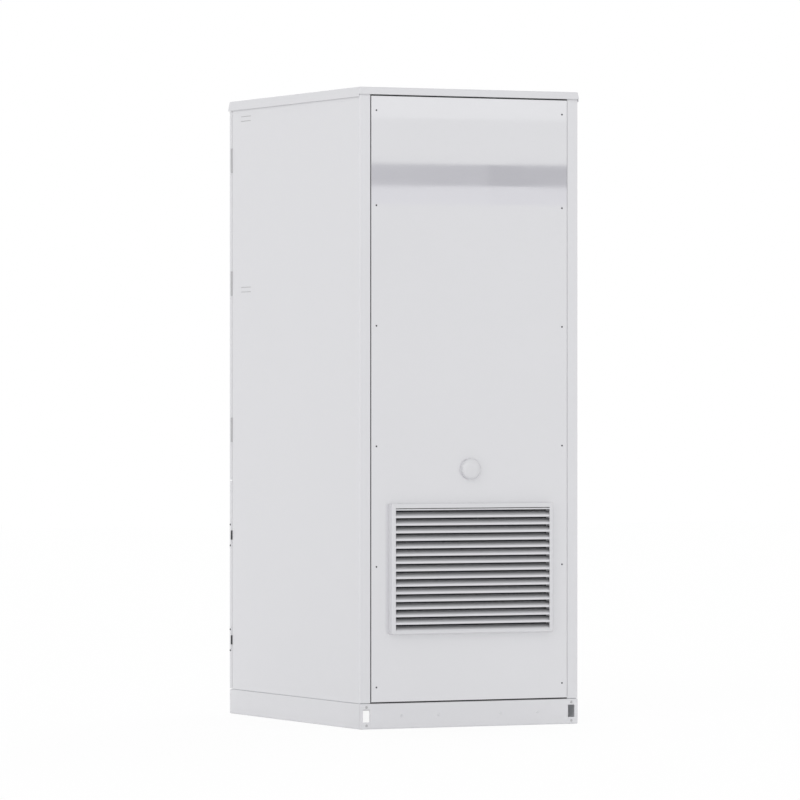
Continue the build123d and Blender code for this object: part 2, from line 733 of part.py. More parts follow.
def make_front_header():
    middle = FRAME_GAUGE / 2
    path = (
        (FRAME_FRONT + middle, HEADER_BOTTOM),
        (FRAME_FRONT + middle, ROOF_UNDERSIDE - middle),
        (FRAME_FRONT + HEADER_WEB, ROOF_UNDERSIDE - middle),
    )
    return run_x(folded(path, FRAME_GAUGE), -FRAME_HALF_WIDTH, FRAME_HALF_WIDTH)


def make_rear_header():
    middle = FRAME_GAUGE / 2
    path = (
        (FRAME_REAR - middle, HEADER_BOTTOM),
        (FRAME_REAR - middle, ROOF_UNDERSIDE - middle),
        (FRAME_REAR - HEADER_WEB, ROOF_UNDERSIDE - middle),
    )
    return run_x(folded(path, FRAME_GAUGE), -FRAME_HALF_WIDTH, FRAME_HALF_WIDTH)


def make_mid_rail():
    """The cross rail behind the joint of the two doors, which carries the shelf."""
    middle = FRAME_GAUGE / 2
    path = (
        (FRAME_FRONT + HEADER_WEB, MID_RAIL_BOTTOM + middle),
        (FRAME_FRONT + middle, MID_RAIL_BOTTOM + middle),
        (FRAME_FRONT + middle, MID_RAIL_TOP),
    )
    return run_x(folded(path, FRAME_GAUGE), -FRAME_HALF_WIDTH, FRAME_HALF_WIDTH)


def post_notches(z0, z1):
    """Clearance for the four rack posts where a sheet passes them."""
    notches = []
    for sign in (-1, 1):
        for y in (RACK_FRONT, RACK_REAR - POST_SIZE):
            x0, x1 = sorted((sign * (POST_INNER - 1), sign * (WALL_INNER + 1)))
            notches.append(block(x0, x1, y - 1, y + POST_SIZE + 1, z0, z1))
    return notches


def make_partition_shelf():
    bottom = MID_RAIL_BOTTOM + FRAME_GAUGE
    front = FRAME_FRONT_BACK + BEND + SOFT_GAP
    shelf = block(-WALL_INNER, WALL_INNER, front, FRAME_REAR, bottom, SHELF_TOP)
    return shelf - post_notches(bottom - 1, SHELF_TOP + 1)


def make_roof_deck():
    return block(
        -WALL_INNER,
        WALL_INNER,
        FRAME_FRONT_BACK,
        FRAME_REAR_BACK,
        DECK_BOTTOM,
        DECK_BOTTOM + SHELL_GAUGE,
    )


def roof_form(shrink):
    """The tapered block of the roof, smaller all round by the shrink."""
    base_x = WIDTH + 2 * (ROOF_OVERHANG - shrink)
    base_y = DEPTH + 2 * (ROOF_OVERHANG - shrink)
    low = Pos(0, 0, SKIRT_BOTTOM) * Rectangle(base_x, base_y)
    high = Pos(0, 0, HEIGHT) * Rectangle(base_x - 2 * ROOF_LEAN, base_y - 2 * ROOF_LEAN)
    return loft([low, high])


def make_roof_cover():
    outer = roof_form(0)
    top_edges = outer.edges().group_by(Axis.Z)[-1]
    outer = fillet(top_edges, ROOF_EDGE_RADIUS)
    hollow = roof_form(ROOF_GAUGE) & block(
        -WIDTH, WIDTH, -DEPTH, DEPTH, SKIRT_BOTTOM - 1, ROOF_UNDERSIDE
    )
    cover = outer - hollow
    rear_lift = HEIGHT - ROOF_REAR_SKIRT
    return cover - block(-WIDTH, WIDTH, REAR - 1, DEPTH, SKIRT_BOTTOM - 1, rear_lift)


# Rear panel


def panel_screw_places():
    places = []
    for sign in (-1, 1):
        for row in range(PANEL_SCREW_ROWS):
            places.append((sign * PANEL_SCREW_X, PANEL_SCREW_FIRST + row * PANEL_SCREW_PITCH))
        places.append((sign * PANEL_SCREW_X, PANEL_SCREW_TOP))
    return places


def hood_opening(y0, y1):
    """The air opening that the louvre hood frames."""
    half_x = HOOD_WIDTH / 2 - HOOD_JAMB
    sill = HOOD_CENTRE - HOOD_HEIGHT / 2 + HOOD_SILL
    lintel = HOOD_CENTRE + HOOD_HEIGHT / 2 - HOOD_LINTEL
    return block(-half_x, half_x, y0, y1, sill, lintel)


def make_rear_panel():
    panel = block(-PANEL_HALF_WIDTH, PANEL_HALF_WIDTH, PANEL_BACK, PANEL_FACE, PANEL_BOTTOM, PANEL_TOP)
    panel -= hood_opening(PANEL_BACK - 1, PANEL_FACE + 1)
    panel -= disc_y(0, VENT_HEIGHT, VENT_THREAD_RADIUS, PANEL_BACK - 1, PANEL_FACE + 1)
    for x, z in panel_screw_places():
        panel -= disc_y(x, z, PANEL_SCREW_SHANK, PANEL_BACK - 1, PANEL_FACE + 1)
    return panel


def make_rear_stiffeners():
    """Hat sections welded across the back of the rear panel."""
    middle = SHELL_GAUGE / 2
    seat = PANEL_BACK - middle
    crown = PANEL_BACK - STIFFENER_DEPTH
    foot = STIFFENER_WIDTH / 4
    half = STIFFENER_WIDTH / 2
    reach = HALF_WIDTH - REAR_RETURN - PANEL_FLANGE - STIFFENER_END_GAP
    hats = []
    for z in STIFFENER_HEIGHTS:
        path = (
            (seat, z - half),
            (seat, z - half + foot),
            (crown, z - half + foot),
            (crown, z + half - foot),
            (seat, z + half - foot),
            (seat, z + half),
        )
        hats.append(run_x(folded(path, SHELL_GAUGE), -reach, reach))
    return hats


def make_rear_seal():
    seal = frame_ring(
        PANEL_HALF_WIDTH + REAR_SEAL_OUTSET,
        PANEL_BOTTOM - REAR_SEAL_END_OUTSET,
        PANEL_TOP + REAR_SEAL_END_OUTSET,
        REAR_SEAL_WIDTH,
        SEAL_SEAT,
        PANEL_BACK,
    )
    for x, z in panel_screw_places():
        seal -= disc_y(x, z, PANEL_SCREW_SHANK, SEAL_SEAT - 1, PANEL_BACK + 1)
    return seal


def make_rear_screws():
    """Low round screws that clamp the rear panel through its seal."""
    screws = []
    for x, z in panel_screw_places():
        head = disc_y(x, z, PANEL_SCREW_RADIUS, PANEL_FACE, PANEL_FACE + PANEL_SCREW_HEAD)
        screws.append(head + disc_y(x, z, PANEL_SCREW_SHANK, SEAL_SEAT, PANEL_FACE))
    return screws


def make_louvre_hood():
    """A pressed frame that stands off the panel, open in front and behind."""
    front = PANEL_FACE + HOOD_DEPTH
    half_x = HOOD_WIDTH / 2
    half_z = HOOD_HEIGHT / 2
    outer = block(-half_x, half_x, PANEL_FACE, front, HOOD_CENTRE - half_z, HOOD_CENTRE + half_z)
    corners = outer.edges().filter_by(Axis.Y)
    outer = fillet(corners, HOOD_EDGE_RADIUS)
    rim = outer.edges().group_by(Axis.Y)[-1]
    outer = fillet(rim, HOOD_RIM_RADIUS)
    cavity = block(
        -half_x + HOOD_GAUGE,
        half_x - HOOD_GAUGE,
        PANEL_FACE - 1,
        front - HOOD_GAUGE,
        HOOD_CENTRE - half_z + HOOD_GAUGE,
        HOOD_CENTRE + half_z - HOOD_GAUGE,
    )
    cavity = fillet(cavity.edges().filter_by(Axis.Y), HOOD_EDGE_RADIUS - HOOD_GAUGE)
    return outer - cavity - hood_opening(PANEL_FACE, front + 1)


def make_louvre_slats():
    """Sloping rain slats, each folded with an upstand behind and a lip in front."""
    middle = SLAT_GAUGE / 2
    front = PANEL_FACE + HOOD_DEPTH - HOOD_GAUGE - middle
    half_length = HOOD_WIDTH / 2 - HOOD_GAUGE
    slats = []
    for i in range(SLAT_COUNT):
        toe = SLAT_FIRST + i * SLAT_PITCH
        path = (
            (front, toe),
            (front, toe + SLAT_LIP),
            (front - SLAT_RUN, toe + SLAT_LIP + SLAT_DROP),
            (front - SLAT_RUN, toe + SLAT_LIP + SLAT_DROP + SLAT_RISE),
        )
        slats.append(run_x(folded(path, SLAT_GAUGE), -half_length, half_length))
    return slats


def make_louvre_filter():
    """The filter cassette behind the opening: a frame with cross bars."""
    half_x = HOOD_WIDTH / 2
    half_z = HOOD_HEIGHT / 2
    back = PANEL_BACK - FILTER_DEPTH
    cassette = frame_ring(
        half_x,
        HOOD_CENTRE - half_z,
        HOOD_CENTRE + half_z,
        FILTER_MARGIN,
        back,
        PANEL_BACK,
    )
    inner_x = half_x - FILTER_MARGIN
    inner_z = half_z - FILTER_MARGIN
    bar = FILTER_DEPTH / 2
    step = 2 * inner_x / (FILTER_BARS + 1)
    half_bar = FILTER_BAR_WIDTH / 2
    for i in range(1, FILTER_BARS + 1):
        x = -inner_x + i * step
        cassette += block(
            x - half_bar,
            x + half_bar,
            back,
            back + bar,
            HOOD_CENTRE - inner_z,
            HOOD_CENTRE + inner_z,
        )
    return cassette


# Pressure vent


def make_vent_cap():
    """A round hood with air slots in the lower half of its rim, next to the panel."""
    profile = Polyline(
        (0, VENT_DEPTH),
        (VENT_RADIUS, VENT_DEPTH),
        (VENT_RADIUS, 0),
        (VENT_RADIUS - VENT_WALL, 0),
        (VENT_RADIUS - VENT_WALL, VENT_DEPTH - VENT_WALL),
        (VENT_BORE_RADIUS, VENT_DEPTH - VENT_WALL),
        (VENT_BORE_RADIUS, VENT_SPIGOT_LENGTH),
        (0, VENT_SPIGOT_LENGTH),
        close=True,
    )
    cap = revolve(Plane.XZ * make_face(profile), Axis.Z)
    rim = cap.edges().filter_by(GeomType.CIRCLE).group_by(Axis.Z)[-1].sort_by(SortBy.RADIUS)[-1]
    cap = chamfer(rim, VENT_EDGE)
    for i in range(VENT_SLOTS):
        slot = Pos(VENT_RADIUS, 0, VENT_SLOT_HEIGHT / 2) * Box(
            VENT_SLOT_CUT, VENT_SLOT_WIDTH, VENT_SLOT_HEIGHT
        )
        angle = 90 + (i - (VENT_SLOTS - 1) / 2) * VENT_SLOT_ANGLE
        cap -= Rot(0, 0, angle) * slot
    return Pos(0, PANEL_FACE, VENT_HEIGHT) * (Rot(-90, 0, 0) * cap)


def make_vent_spigot():
    """The threaded tube through the panel, with its collar in front and hexagon nut behind."""
    front = PANEL_FACE + VENT_SPIGOT_LENGTH
    nut_back = PANEL_BACK - VENT_NUT_HEIGHT
    tail = nut_back - VENT_THREAD_TAIL
    tube = disc_y(0, VENT_HEIGHT, VENT_THREAD_RADIUS, tail, PANEL_FACE)
    tube += disc_y(0, VENT_HEIGHT, VENT_BORE_RADIUS + VENT_SPIGOT_WALL, PANEL_FACE, front)
    tube -= disc_y(0, VENT_HEIGHT, VENT_BORE_RADIUS, tail - 1, front - VENT_WALL)
    nut = run_y(Pos(0, VENT_HEIGHT) * RegularPolygon(VENT_NUT_RADIUS, 6), nut_back, PANEL_BACK)
    nut -= disc_y(0, VENT_HEIGHT, VENT_THREAD_RADIUS, nut_back - 1, PANEL_BACK + 1)
    return [tube, nut]


# Battery rack


def make_rack_posts():
    """Four angle posts from the floor pan to the roof deck."""
    middle = PLINTH_GAUGE / 2
    posts = []
    for sign in (-1, 1):
        inner = sign * (POST_INNER + middle)
        outer = sign * POST_OUTER
        for corner, end in ((RACK_FRONT, RACK_FRONT + POST_SIZE), (RACK_REAR, RACK_REAR - POST_SIZE)):
            inward = 1 if end > corner else -1
            path = ((outer, corner + inward * middle), (inner, corner + inward * middle), (inner, end))
            posts.append(run_z(folded(path, PLINTH_GAUGE), FLOOR_TOP, DECK_BOTTOM))
    return posts


def make_rack_runners():
    """Angle runners between the posts, one pair for each level."""
    middle = PLINTH_GAUGE / 2
    runners = []
    for level in range(RACK_LEVELS + 1):
        seat = RACK_FIRST + level * RACK_PITCH
        for sign in (-1, 1):
            wall = sign * (POST_INNER - middle)
            path = (
                (wall, seat + RUNNER_LEG),
                (wall, seat - middle),
                (sign * (POST_INNER - RUNNER_LEG), seat - middle),
            )
            runners.append(run_y(folded(path, PLINTH_GAUGE), RACK_FRONT, RACK_REAR))
    return runners


def make_battery_pack(level):
    """A ribbed pack casing with rounded long edges and a front plate."""
    bottom = RACK_FIRST + level * RACK_PITCH
    middle_z = bottom + PACK_HEIGHT / 2
    section = Pos(0, middle_z) * RectangleRounded(PACK_WIDTH, PACK_HEIGHT, PACK_EDGE_RADIUS)
    casing = run_y(section, RACK_FRONT + PACK_FACE_THICKNESS, RACK_REAR)
    gap = PACK_WIDTH / (PACK_RIBS + 1)
    for i in range(1, PACK_RIBS + 1):
        x = -PACK_WIDTH / 2 + i * gap
        casing -= block(
            x - PACK_RIB_WIDTH / 2,
            x + PACK_RIB_WIDTH / 2,
            RACK_FRONT + PACK_RIB_END,
            RACK_REAR - PACK_RIB_END,
            bottom + PACK_HEIGHT - PACK_RIB_DEPTH,
            bottom + PACK_HEIGHT + 1,
        )
    plate = run_y(
        Pos(0, middle_z + PACK_FACE_LIP / 2)
        * RectangleRounded(PACK_WIDTH, PACK_HEIGHT + PACK_FACE_LIP, PACK_EDGE_RADIUS),
        RACK_FRONT,
        RACK_FRONT + PACK_FACE_THICKNESS,
    )
    return casing + plate


def pack_pull(x, z):
    """One bent pull handle on the front of a pack."""
    half = PULL_WIDTH / 2
    out = RACK_FRONT - PULL_DEPTH + PULL_BAR / 2
    path = ((x - half, RACK_FRONT), (x - half, out), (x + half, out), (x + half, RACK_FRONT))
    return run_z(folded(path, PULL_BAR, bend=PULL_BEND), z - PULL_BAR, z + PULL_BAR)


def make_pack_fittings():
    """Pull handles, power sockets and hexagon coolant ports on the front of each pack."""
    fittings = []
    for level in range(RACK_LEVELS):
        bottom = RACK_FIRST + level * RACK_PITCH
        middle = bottom + PACK_HEIGHT / 2
        for sign in (-1, 1):
            fittings.append(pack_pull(sign * PULL_FROM_MIDDLE, middle))
            socket = Pos(sign * SOCKET_FROM_MIDDLE, middle) * Rectangle(SOCKET_WIDTH, SOCKET_HEIGHT)
            fittings.append(run_y(socket, RACK_FRONT - SOCKET_DEPTH, RACK_FRONT))
            port = Pos(sign * PORT_FROM_MIDDLE, bottom + PORT_FROM_BOTTOM) * RegularPolygon(PORT_RADIUS, 6)
            fittings.append(run_y(port, RACK_FRONT - PORT_DEPTH, RACK_FRONT))
    return fittings


def make_manifold(sign):
    """An upright coolant pipe with one branch to each pack."""
    x = sign * PORT_FROM_MIDDLE
    y = RACK_FRONT - MANIFOLD_SETBACK
    first = RACK_FIRST + PORT_FROM_BOTTOM
    top = first + (RACK_LEVELS - 1) * RACK_PITCH + MANIFOLD_TAIL
    pipe = disc_z(x, y, MANIFOLD_RADIUS, SHELF_TOP, top)
    flange_top = SHELF_TOP + MANIFOLD_FLANGE_HEIGHT
    pipe += disc_z(x, y, MANIFOLD_RADIUS + MANIFOLD_FLANGE, SHELF_TOP, flange_top)
    branch = PORT_RADIUS - MANIFOLD_BRANCH_STEP
    for level in range(RACK_LEVELS):
        pipe += disc_y(x, first + level * RACK_PITCH, branch, y, RACK_FRONT - PORT_DEPTH)
    return pipe


# Control box


def make_control_box():
    """The high-voltage box on the top level, with its stop-button collar."""
    half = PACK_WIDTH / 2
    back = RACK_FRONT + CONTROL_DEPTH
    top = CONTROL_BOTTOM + CONTROL_HEIGHT
    box = block(-half, half, RACK_FRONT, back, CONTROL_BOTTOM, top)
    box = fillet(box.edges().filter_by(Axis.Y), CONTROL_EDGE)
    shaft_end = RACK_FRONT + ISOLATOR_BAR_DEPTH + ISOLATOR_DEPTH
    shaft = ISOLATOR_SHAFT_RADIUS + SHAFT_FIT
    box -= disc_y(ISOLATOR_X, CONTROL_MIDDLE, shaft, RACK_FRONT - 1, shaft_end)
    collar = RACK_FRONT - STOP_COLLAR_DEPTH
    box += disc_y(STOP_X, CONTROL_MIDDLE, STOP_COLLAR_RADIUS, collar, RACK_FRONT)
    stem = STOP_STEM_RADIUS + SHAFT_FIT
    return box - disc_y(STOP_X, CONTROL_MIDDLE, stem, collar - 1, RACK_FRONT + STOP_BORE_DEPTH)


def make_isolator_handle():
    """A rotary handle: round base, grip bar and the shaft into the box."""
    face = RACK_FRONT - SOFT_GAP
    base = disc_y(ISOLATOR_X, CONTROL_MIDDLE, ISOLATOR_RADIUS, face - ISOLATOR_DEPTH, face)
    grip = run_y(
        Pos(ISOLATOR_X, CONTROL_MIDDLE) * SlotOverall(ISOLATOR_BAR, ISOLATOR_BAR_WIDTH),
        face - ISOLATOR_DEPTH - ISOLATOR_BAR_DEPTH,
        face - ISOLATOR_DEPTH,
    )
    end = RACK_FRONT + ISOLATOR_BAR_DEPTH
    return base + grip + disc_y(ISOLATOR_X, CONTROL_MIDDLE, ISOLATOR_SHAFT_RADIUS, face, end)


def make_stop_button():
    """A mushroom button with its stem in the collar."""
    back = RACK_FRONT - STOP_COLLAR_DEPTH - STOP_TRAVEL - SOFT_GAP
    head = disc_y(STOP_X, CONTROL_MIDDLE, STOP_RADIUS, back - STOP_HEAD_DEPTH, back)
    head = chamfer(head.edges().group_by(Axis.Y)[0], STOP_HEAD_EDGE)
    end = RACK_FRONT + STOP_BORE_DEPTH - STOP_TRAVEL - STOP_BORE_END
    return head + disc_y(STOP_X, CONTROL_MIDDLE, STOP_STEM_RADIUS, back, end)


# Cooling unit


def make_unit_frame():
    """A U-shaped folded chassis that holds the coil and stands on the floor pan."""
    middle = SHELL_GAUGE / 2
    half = UNIT_WIDTH / 2
    path = (
        (-half, FLOOR_TOP + UNIT_HEIGHT),
        (-half, FLOOR_TOP + middle),
        (half, FLOOR_TOP + middle),
        (half, FLOOR_TOP + UNIT_HEIGHT),
    )
    return run_y(folded(path, SHELL_GAUGE), UNIT_REAR - UNIT_DEPTH, UNIT_REAR)


def make_condenser_coil():
    """The finned block between the chassis walls."""
    half = UNIT_WIDTH / 2 - SHELL_GAUGE / 2
    coil = block(-half, half, COIL_REAR - COIL_DEPTH, COIL_REAR, COIL_BOTTOM, COIL_TOP)
    step = (COIL_TOP - COIL_BOTTOM) / COIL_FINS
    for i in range(COIL_FINS):
        z = COIL_BOTTOM + (i + 0.5) * step
        for y in (COIL_REAR - COIL_DEPTH, COIL_REAR):
            coil -= block(
                -half + COIL_MARGIN,
                half - COIL_MARGIN,
                y - COIL_GROOVE_DEPTH,
                y + COIL_GROOVE_DEPTH,
                z - COIL_FIN_GROOVE / 2,
                z + COIL_FIN_GROOVE / 2,
            )
    return coil


def make_fan_shroud():
    """The plate on the coil with its round duct and the motor spider."""
    half = UNIT_WIDTH / 2 - SHELL_GAUGE / 2
    bore = FAN_RADIUS + FAN_TIP_GAP
    back = COIL_REAR + SHELL_GAUGE
    plate = block(-half, half, COIL_REAR, back, COIL_BOTTOM, COIL_TOP)
    plate -= disc_y(0, HOOD_CENTRE, bore, COIL_REAR - 1, back + 1)
    duct = disc_y(0, HOOD_CENTRE, bore + DUCT_WALL, back, back + DUCT_LENGTH)
    duct -= disc_y(0, HOOD_CENTRE, bore, back - 1, back + DUCT_LENGTH + 1)
    shroud = plate + duct
    for i in range(SPIDER_ARMS):
        arm = block(
            MOTOR_RADIUS / 2,
            bore + SPIDER_LAP,
            -SHELL_GAUGE,
            SHELL_GAUGE,
            -SPIDER_WIDTH / 2,
            SPIDER_WIDTH / 2,
        )
        angle = SPIDER_FIRST_ANGLE + i * 360 / SPIDER_ARMS
        shroud += Pos(0, COIL_REAR + SHELL_GAUGE, HOOD_CENTRE) * (Rot(0, angle, 0) * arm)
    seat = disc_y(0, HOOD_CENTRE, MOTOR_RADIUS, COIL_REAR, COIL_REAR + 2 * SHELL_GAUGE)
    return shroud + seat


def make_fan_motor():
    """The motor on the spider, with its shaft."""
    body = disc_y(0, HOOD_CENTRE, MOTOR_RADIUS, COIL_REAR + 2 * SHELL_GAUGE, MOTOR_FRONT)
    body = chamfer(body.edges().group_by(Axis.Y)[-1], MOTOR_EDGE)
    shaft_end = HUB_BACK + HUB_LENGTH - HUB_CAP - SOFT_GAP
    return body + disc_y(0, HOOD_CENTRE, FAN_SHAFT_RADIUS, MOTOR_FRONT, shaft_end)


def fan_blade():
    """One twisted blade about the Y axis, from the hub to the tip."""
    root_plane = Plane(origin=(HUB_RADIUS - BLADE_SINK, 0, 0), x_dir=(0, 1, 0), z_dir=(1, 0, 0))
    tip_plane = Plane(origin=(FAN_RADIUS, 0, 0), x_dir=(0, 1, 0), z_dir=(1, 0, 0))
    root = root_plane * (Rot(0, 0, 90 - BLADE_ROOT_PITCH) * Rectangle(BLADE_ROOT_CHORD, BLADE_GAUGE))
    tip = tip_plane * (Rot(0, 0, 90 - BLADE_TIP_PITCH) * Rectangle(BLADE_TIP_CHORD, BLADE_GAUGE))
    return loft([root, tip])


def make_fan_rotor():
    """Hub and twisted blades, with a running bore on the motor shaft."""
    middle = HUB_BACK + HUB_LENGTH / 2
    rotor = disc_y(0, 0, HUB_RADIUS, -HUB_LENGTH / 2, HUB_LENGTH / 2)
    for i in range(FAN_BLADES):
        rotor += Rot(0, i * 360 / FAN_BLADES, 0) * fan_blade()
    rotor -= disc_y(0, 0, FAN_SHAFT_RADIUS + SHAFT_FIT, -HUB_LENGTH, HUB_LENGTH / 2 - HUB_CAP)
    return Pos(0, middle, HOOD_CENTRE) * rotor


def make_compressor():
    """A domed hermetic compressor whose foot plate stands on four rubber pads."""
    radius = COMPRESSOR_RADIUS
    top = COMPRESSOR_HEIGHT
    low = COMPRESSOR_PAD_HEIGHT
    profile = Polyline(
        (0, low),
        (radius, low),
        (radius, top - COMPRESSOR_DOME),
        (radius - COMPRESSOR_SHOULDER, top - COMPRESSOR_SHOULDER),
        (radius - COMPRESSOR_DOME, top),
        (0, top),
        close=True,
    )
    whole = revolve(Plane.XZ * make_face(profile), Axis.Z)
    whole += block(-radius, radius, -radius, radius, low, low + COMPRESSOR_FOOT)
    near = radius - COMPRESSOR_PAD
    for x in (-radius, near):
        for y in (-radius, near):
            whole += block(x, x + COMPRESSOR_PAD, y, y + COMPRESSOR_PAD, 0, low)
    return Pos(COMPRESSOR_X, COMPRESSOR_Y, FLOOR_TOP + SHELL_GAUGE) * whole


# Inverter


def make_inverter():
    """The power converter cabinet, with an upright heat sink comb on its left side."""
    back = INVERTER_FRONT + INVERTER_DEPTH
    top = FLOOR_TOP + INVERTER_HEIGHT
    body = block(INVERTER_LEFT, INVERTER_RIGHT, INVERTER_FRONT, back, FLOOR_TOP, top)
    body = fillet(body.edges().filter_by(Axis.Z), INVERTER_EDGE)
    pitch = (INVERTER_DEPTH - 2 * INVERTER_EDGE) / INVERTER_FINS
    for i in range(INVERTER_FINS):
        y = INVERTER_FRONT + INVERTER_EDGE + (i + 0.5) * pitch
        body -= block(
            INVERTER_LEFT - 1,
            INVERTER_LEFT + INVERTER_FIN_DEPTH,
            y - INVERTER_FIN_GAP / 2,
            y + INVERTER_FIN_GAP / 2,
            FLOOR_TOP + INVERTER_FIN_FOOT,
            top + 1,
        )
    return body


# Safety fittings


def make_fire_canister():
    """An extinguishing canister with a sloping shoulder and a neck valve."""
    shoulder = CANISTER_HEIGHT - CANISTER_SHOULDER
    profile = Polyline(
        (0, 0),
        (CANISTER_RADIUS, 0),
        (CANISTER_RADIUS, shoulder),
        (CANISTER_NECK_RADIUS, CANISTER_HEIGHT),
        (CANISTER_NECK_RADIUS, CANISTER_HEIGHT + CANISTER_NECK),
        (0, CANISTER_HEIGHT + CANISTER_NECK),
        close=True,
    )
    body = revolve(Plane.XZ * make_face(profile), Axis.Z)
    return Pos(CANISTER_X, CANISTER_Y, FLOOR_TOP) * body


def make_canister_clamp():
    """A band round the canister with a foot plate fixed to the inverter side."""
    low = FLOOR_TOP + CANISTER_HEIGHT / 2
    high = low + CLAMP_HEIGHT
    outer = CANISTER_RADIUS + CLAMP_GAUGE + SOFT_GAP
    wall = INVERTER_RIGHT
    arm = CLAMP_ARM_WIDTH / 2
    foot = CLAMP_FOOT_WIDTH / 2
    clamp = disc_z(CANISTER_X, CANISTER_Y, outer, low, high)
    clamp += block(wall, CANISTER_X, CANISTER_Y - arm, CANISTER_Y + arm, low, high)
    clamp += block(wall, wall + CLAMP_GAUGE, CANISTER_Y - foot, CANISTER_Y + foot, low, high)
    return clamp - disc_z(CANISTER_X, CANISTER_Y, CANISTER_RADIUS + SOFT_GAP, low - 1, high + 1)


def make_smoke_detector():
    """A stepped dome under the roof deck."""
    profile = Polyline(
        (0, 0),
        (DETECTOR_RADIUS, 0),
        (DETECTOR_RADIUS, -DETECTOR_BASE_HEIGHT),
        (DETECTOR_NECK_RADIUS, -DETECTOR_GAP_HEIGHT),
        (DETECTOR_TIP_RADIUS, -DETECTOR_HEIGHT),
        (0, -DETECTOR_HEIGHT),
        close=True,
    )
    dome = revolve(Plane.XZ * make_face(profile), Axis.Z)
    return Pos(0, DETECTOR_Y, DECK_BOTTOM) * dome


# Doors


def hinge_heights():
    return UPPER_HINGE_HEIGHTS + LOWER_HINGE_HEIGHTS


def hinge_length(z):
    return UPPER_HINGE_LENGTH if z in UPPER_HINGE_HEIGHTS else LOWER_HINGE_LENGTH


def knuckle_relief(z):
    """The round cut that clears one hinge knuckle."""
    half = hinge_length(z) / 2 + KNUCKLE_RELIEF
    return disc_z(HINGE_X, HINGE_Y, KNUCKLE_RADIUS + KNUCKLE_RELIEF, z - half, z + half)


def door_skin(z0, z1, hinges):
    """The folded door tray, relieved for its hinge knuckles."""
    outer = block(-HALF_WIDTH, HALF_WIDTH, DOOR_FACE, DOOR_BACK, z0, z1)
    outer = fillet(outer.edges().group_by(Axis.Y)[0], DOOR_EDGE_RADIUS)
    hollow = block(
        -WALL_INNER,
        WALL_INNER,
        DOOR_FACE + SHELL_GAUGE,
        DOOR_BACK + 1,
        z0 + SHELL_GAUGE,
        z1 - SHELL_GAUGE,
    )
    skin = outer - hollow
    for z in hinges:
        skin -= knuckle_relief(z)
    return skin


def spindle_hole(z):
    radius = SPINDLE_RADIUS + SHAFT_FIT
    return disc_y(HANDLE_X, z, radius, DOOR_FACE - 1, DOOR_FACE + SHELL_GAUGE + 1)


def make_upper_door():
    skin = door_skin(UPPER_DOOR_BOTTOM, UPPER_DOOR_TOP, UPPER_HINGE_HEIGHTS)
    return skin - spindle_hole(UPPER_HANDLE_HEIGHT)


def make_lower_door():
    """The lower door, with a bank of air slots for the cooling unit."""
    skin = door_skin(LOWER_DOOR_BOTTOM, LOWER_DOOR_TOP, LOWER_HINGE_HEIGHTS)
    skin -= spindle_hole(LOWER_HANDLE_HEIGHT)
    first = INTAKE_CENTRE - (INTAKE_SLOTS - 1) * INTAKE_PITCH / 2
    for i in range(INTAKE_SLOTS):
        slot = Pos(0, first + i * INTAKE_PITCH) * SlotOverall(INTAKE_LENGTH, INTAKE_SLOT)
        skin -= run_y(slot, DOOR_FACE - 1, DOOR_FACE + SHELL_GAUGE + 1)
    return skin


def door_ring(z0, z1):
    inset = DOOR_RING_INSET
    return frame_ring(
        HALF_WIDTH - inset,
        z0 + inset,
        z1 - inset,
        DOOR_RING_WIDTH,
        DOOR_FACE + SHELL_GAUGE,
        DOOR_FACE + SHELL_GAUGE + DOOR_RING_DEPTH,
    )


def rod_x(sign):
    return HANDLE_X + sign * ROD_SPREAD


def rod_guide(sign, z):
    """A bracket on the door skin with a window that the latch rod slides in."""
    half = ROD_WIDTH / 2 + GUIDE_WALL
    x = rod_x(sign)
    guide = block(
        x - half,
        x + half,
        DOOR_FACE + SHELL_GAUGE,
        ROD_FRONT + ROD_GAUGE + GUIDE_WALL,
        z - GUIDE_HEIGHT / 2,
        z + GUIDE_HEIGHT / 2,
    )
    clear = ROD_WIDTH / 2 + SOFT_GAP
    return guide - block(
        x - clear,
        x + clear,
        ROD_FRONT - SOFT_GAP,
        ROD_FRONT + ROD_GAUGE + SOFT_GAP,
        z - GUIDE_HEIGHT,
        z + GUIDE_HEIGHT,
    )


def make_upper_door_frame():
    """The welded stiffening ring of the upper door and its four rod guides."""
    pieces = [door_ring(UPPER_DOOR_BOTTOM, UPPER_DOOR_TOP)]
    for offset in GUIDE_OFFSETS:
        pieces.append(rod_guide(-1, UPPER_HANDLE_HEIGHT + offset))
        pieces.append(rod_guide(1, UPPER_HANDLE_HEIGHT - offset))
    return pieces


def make_lower_door_frame():
    return door_ring(LOWER_DOOR_BOTTOM, LOWER_DOOR_TOP)


def door_seal(z0, z1):
    inset = DOOR_SEAL_INSET
    return frame_ring(
        HALF_WIDTH - inset,
        z0 + inset,
        z1 - inset,
        DOOR_SEAL_WIDTH,
        DOOR_FACE + SHELL_GAUGE + DOOR_RING_DEPTH,
        FRONT - SOFT_GAP,
    )


def knuckle(z0, z1):
    return disc_z(HINGE_X, HINGE_Y, KNUCKLE_RADIUS, z0, z1)


def make_hinge_pintles():
    """The lower hinge halves on the body: knuckle, pin and leaf behind the door frame."""
    halves = []
    for z in hinge_heights():
        low = z - hinge_length(z) / 2
        top = z + hinge_length(z) / 2
        half = knuckle(low, z)
        half += block(
            WALL_INNER - HINGE_LEAF_REACH,
            WALL_INNER,
            FRAME_FRONT,
            FRAME_FRONT + HINGE_LEAF,
            low,
            z,
        )
        half += disc_z(HINGE_X, HINGE_Y, HINGE_PIN_RADIUS, z, top - HINGE_PIN_SINK)
        halves.append(half)
    return halves


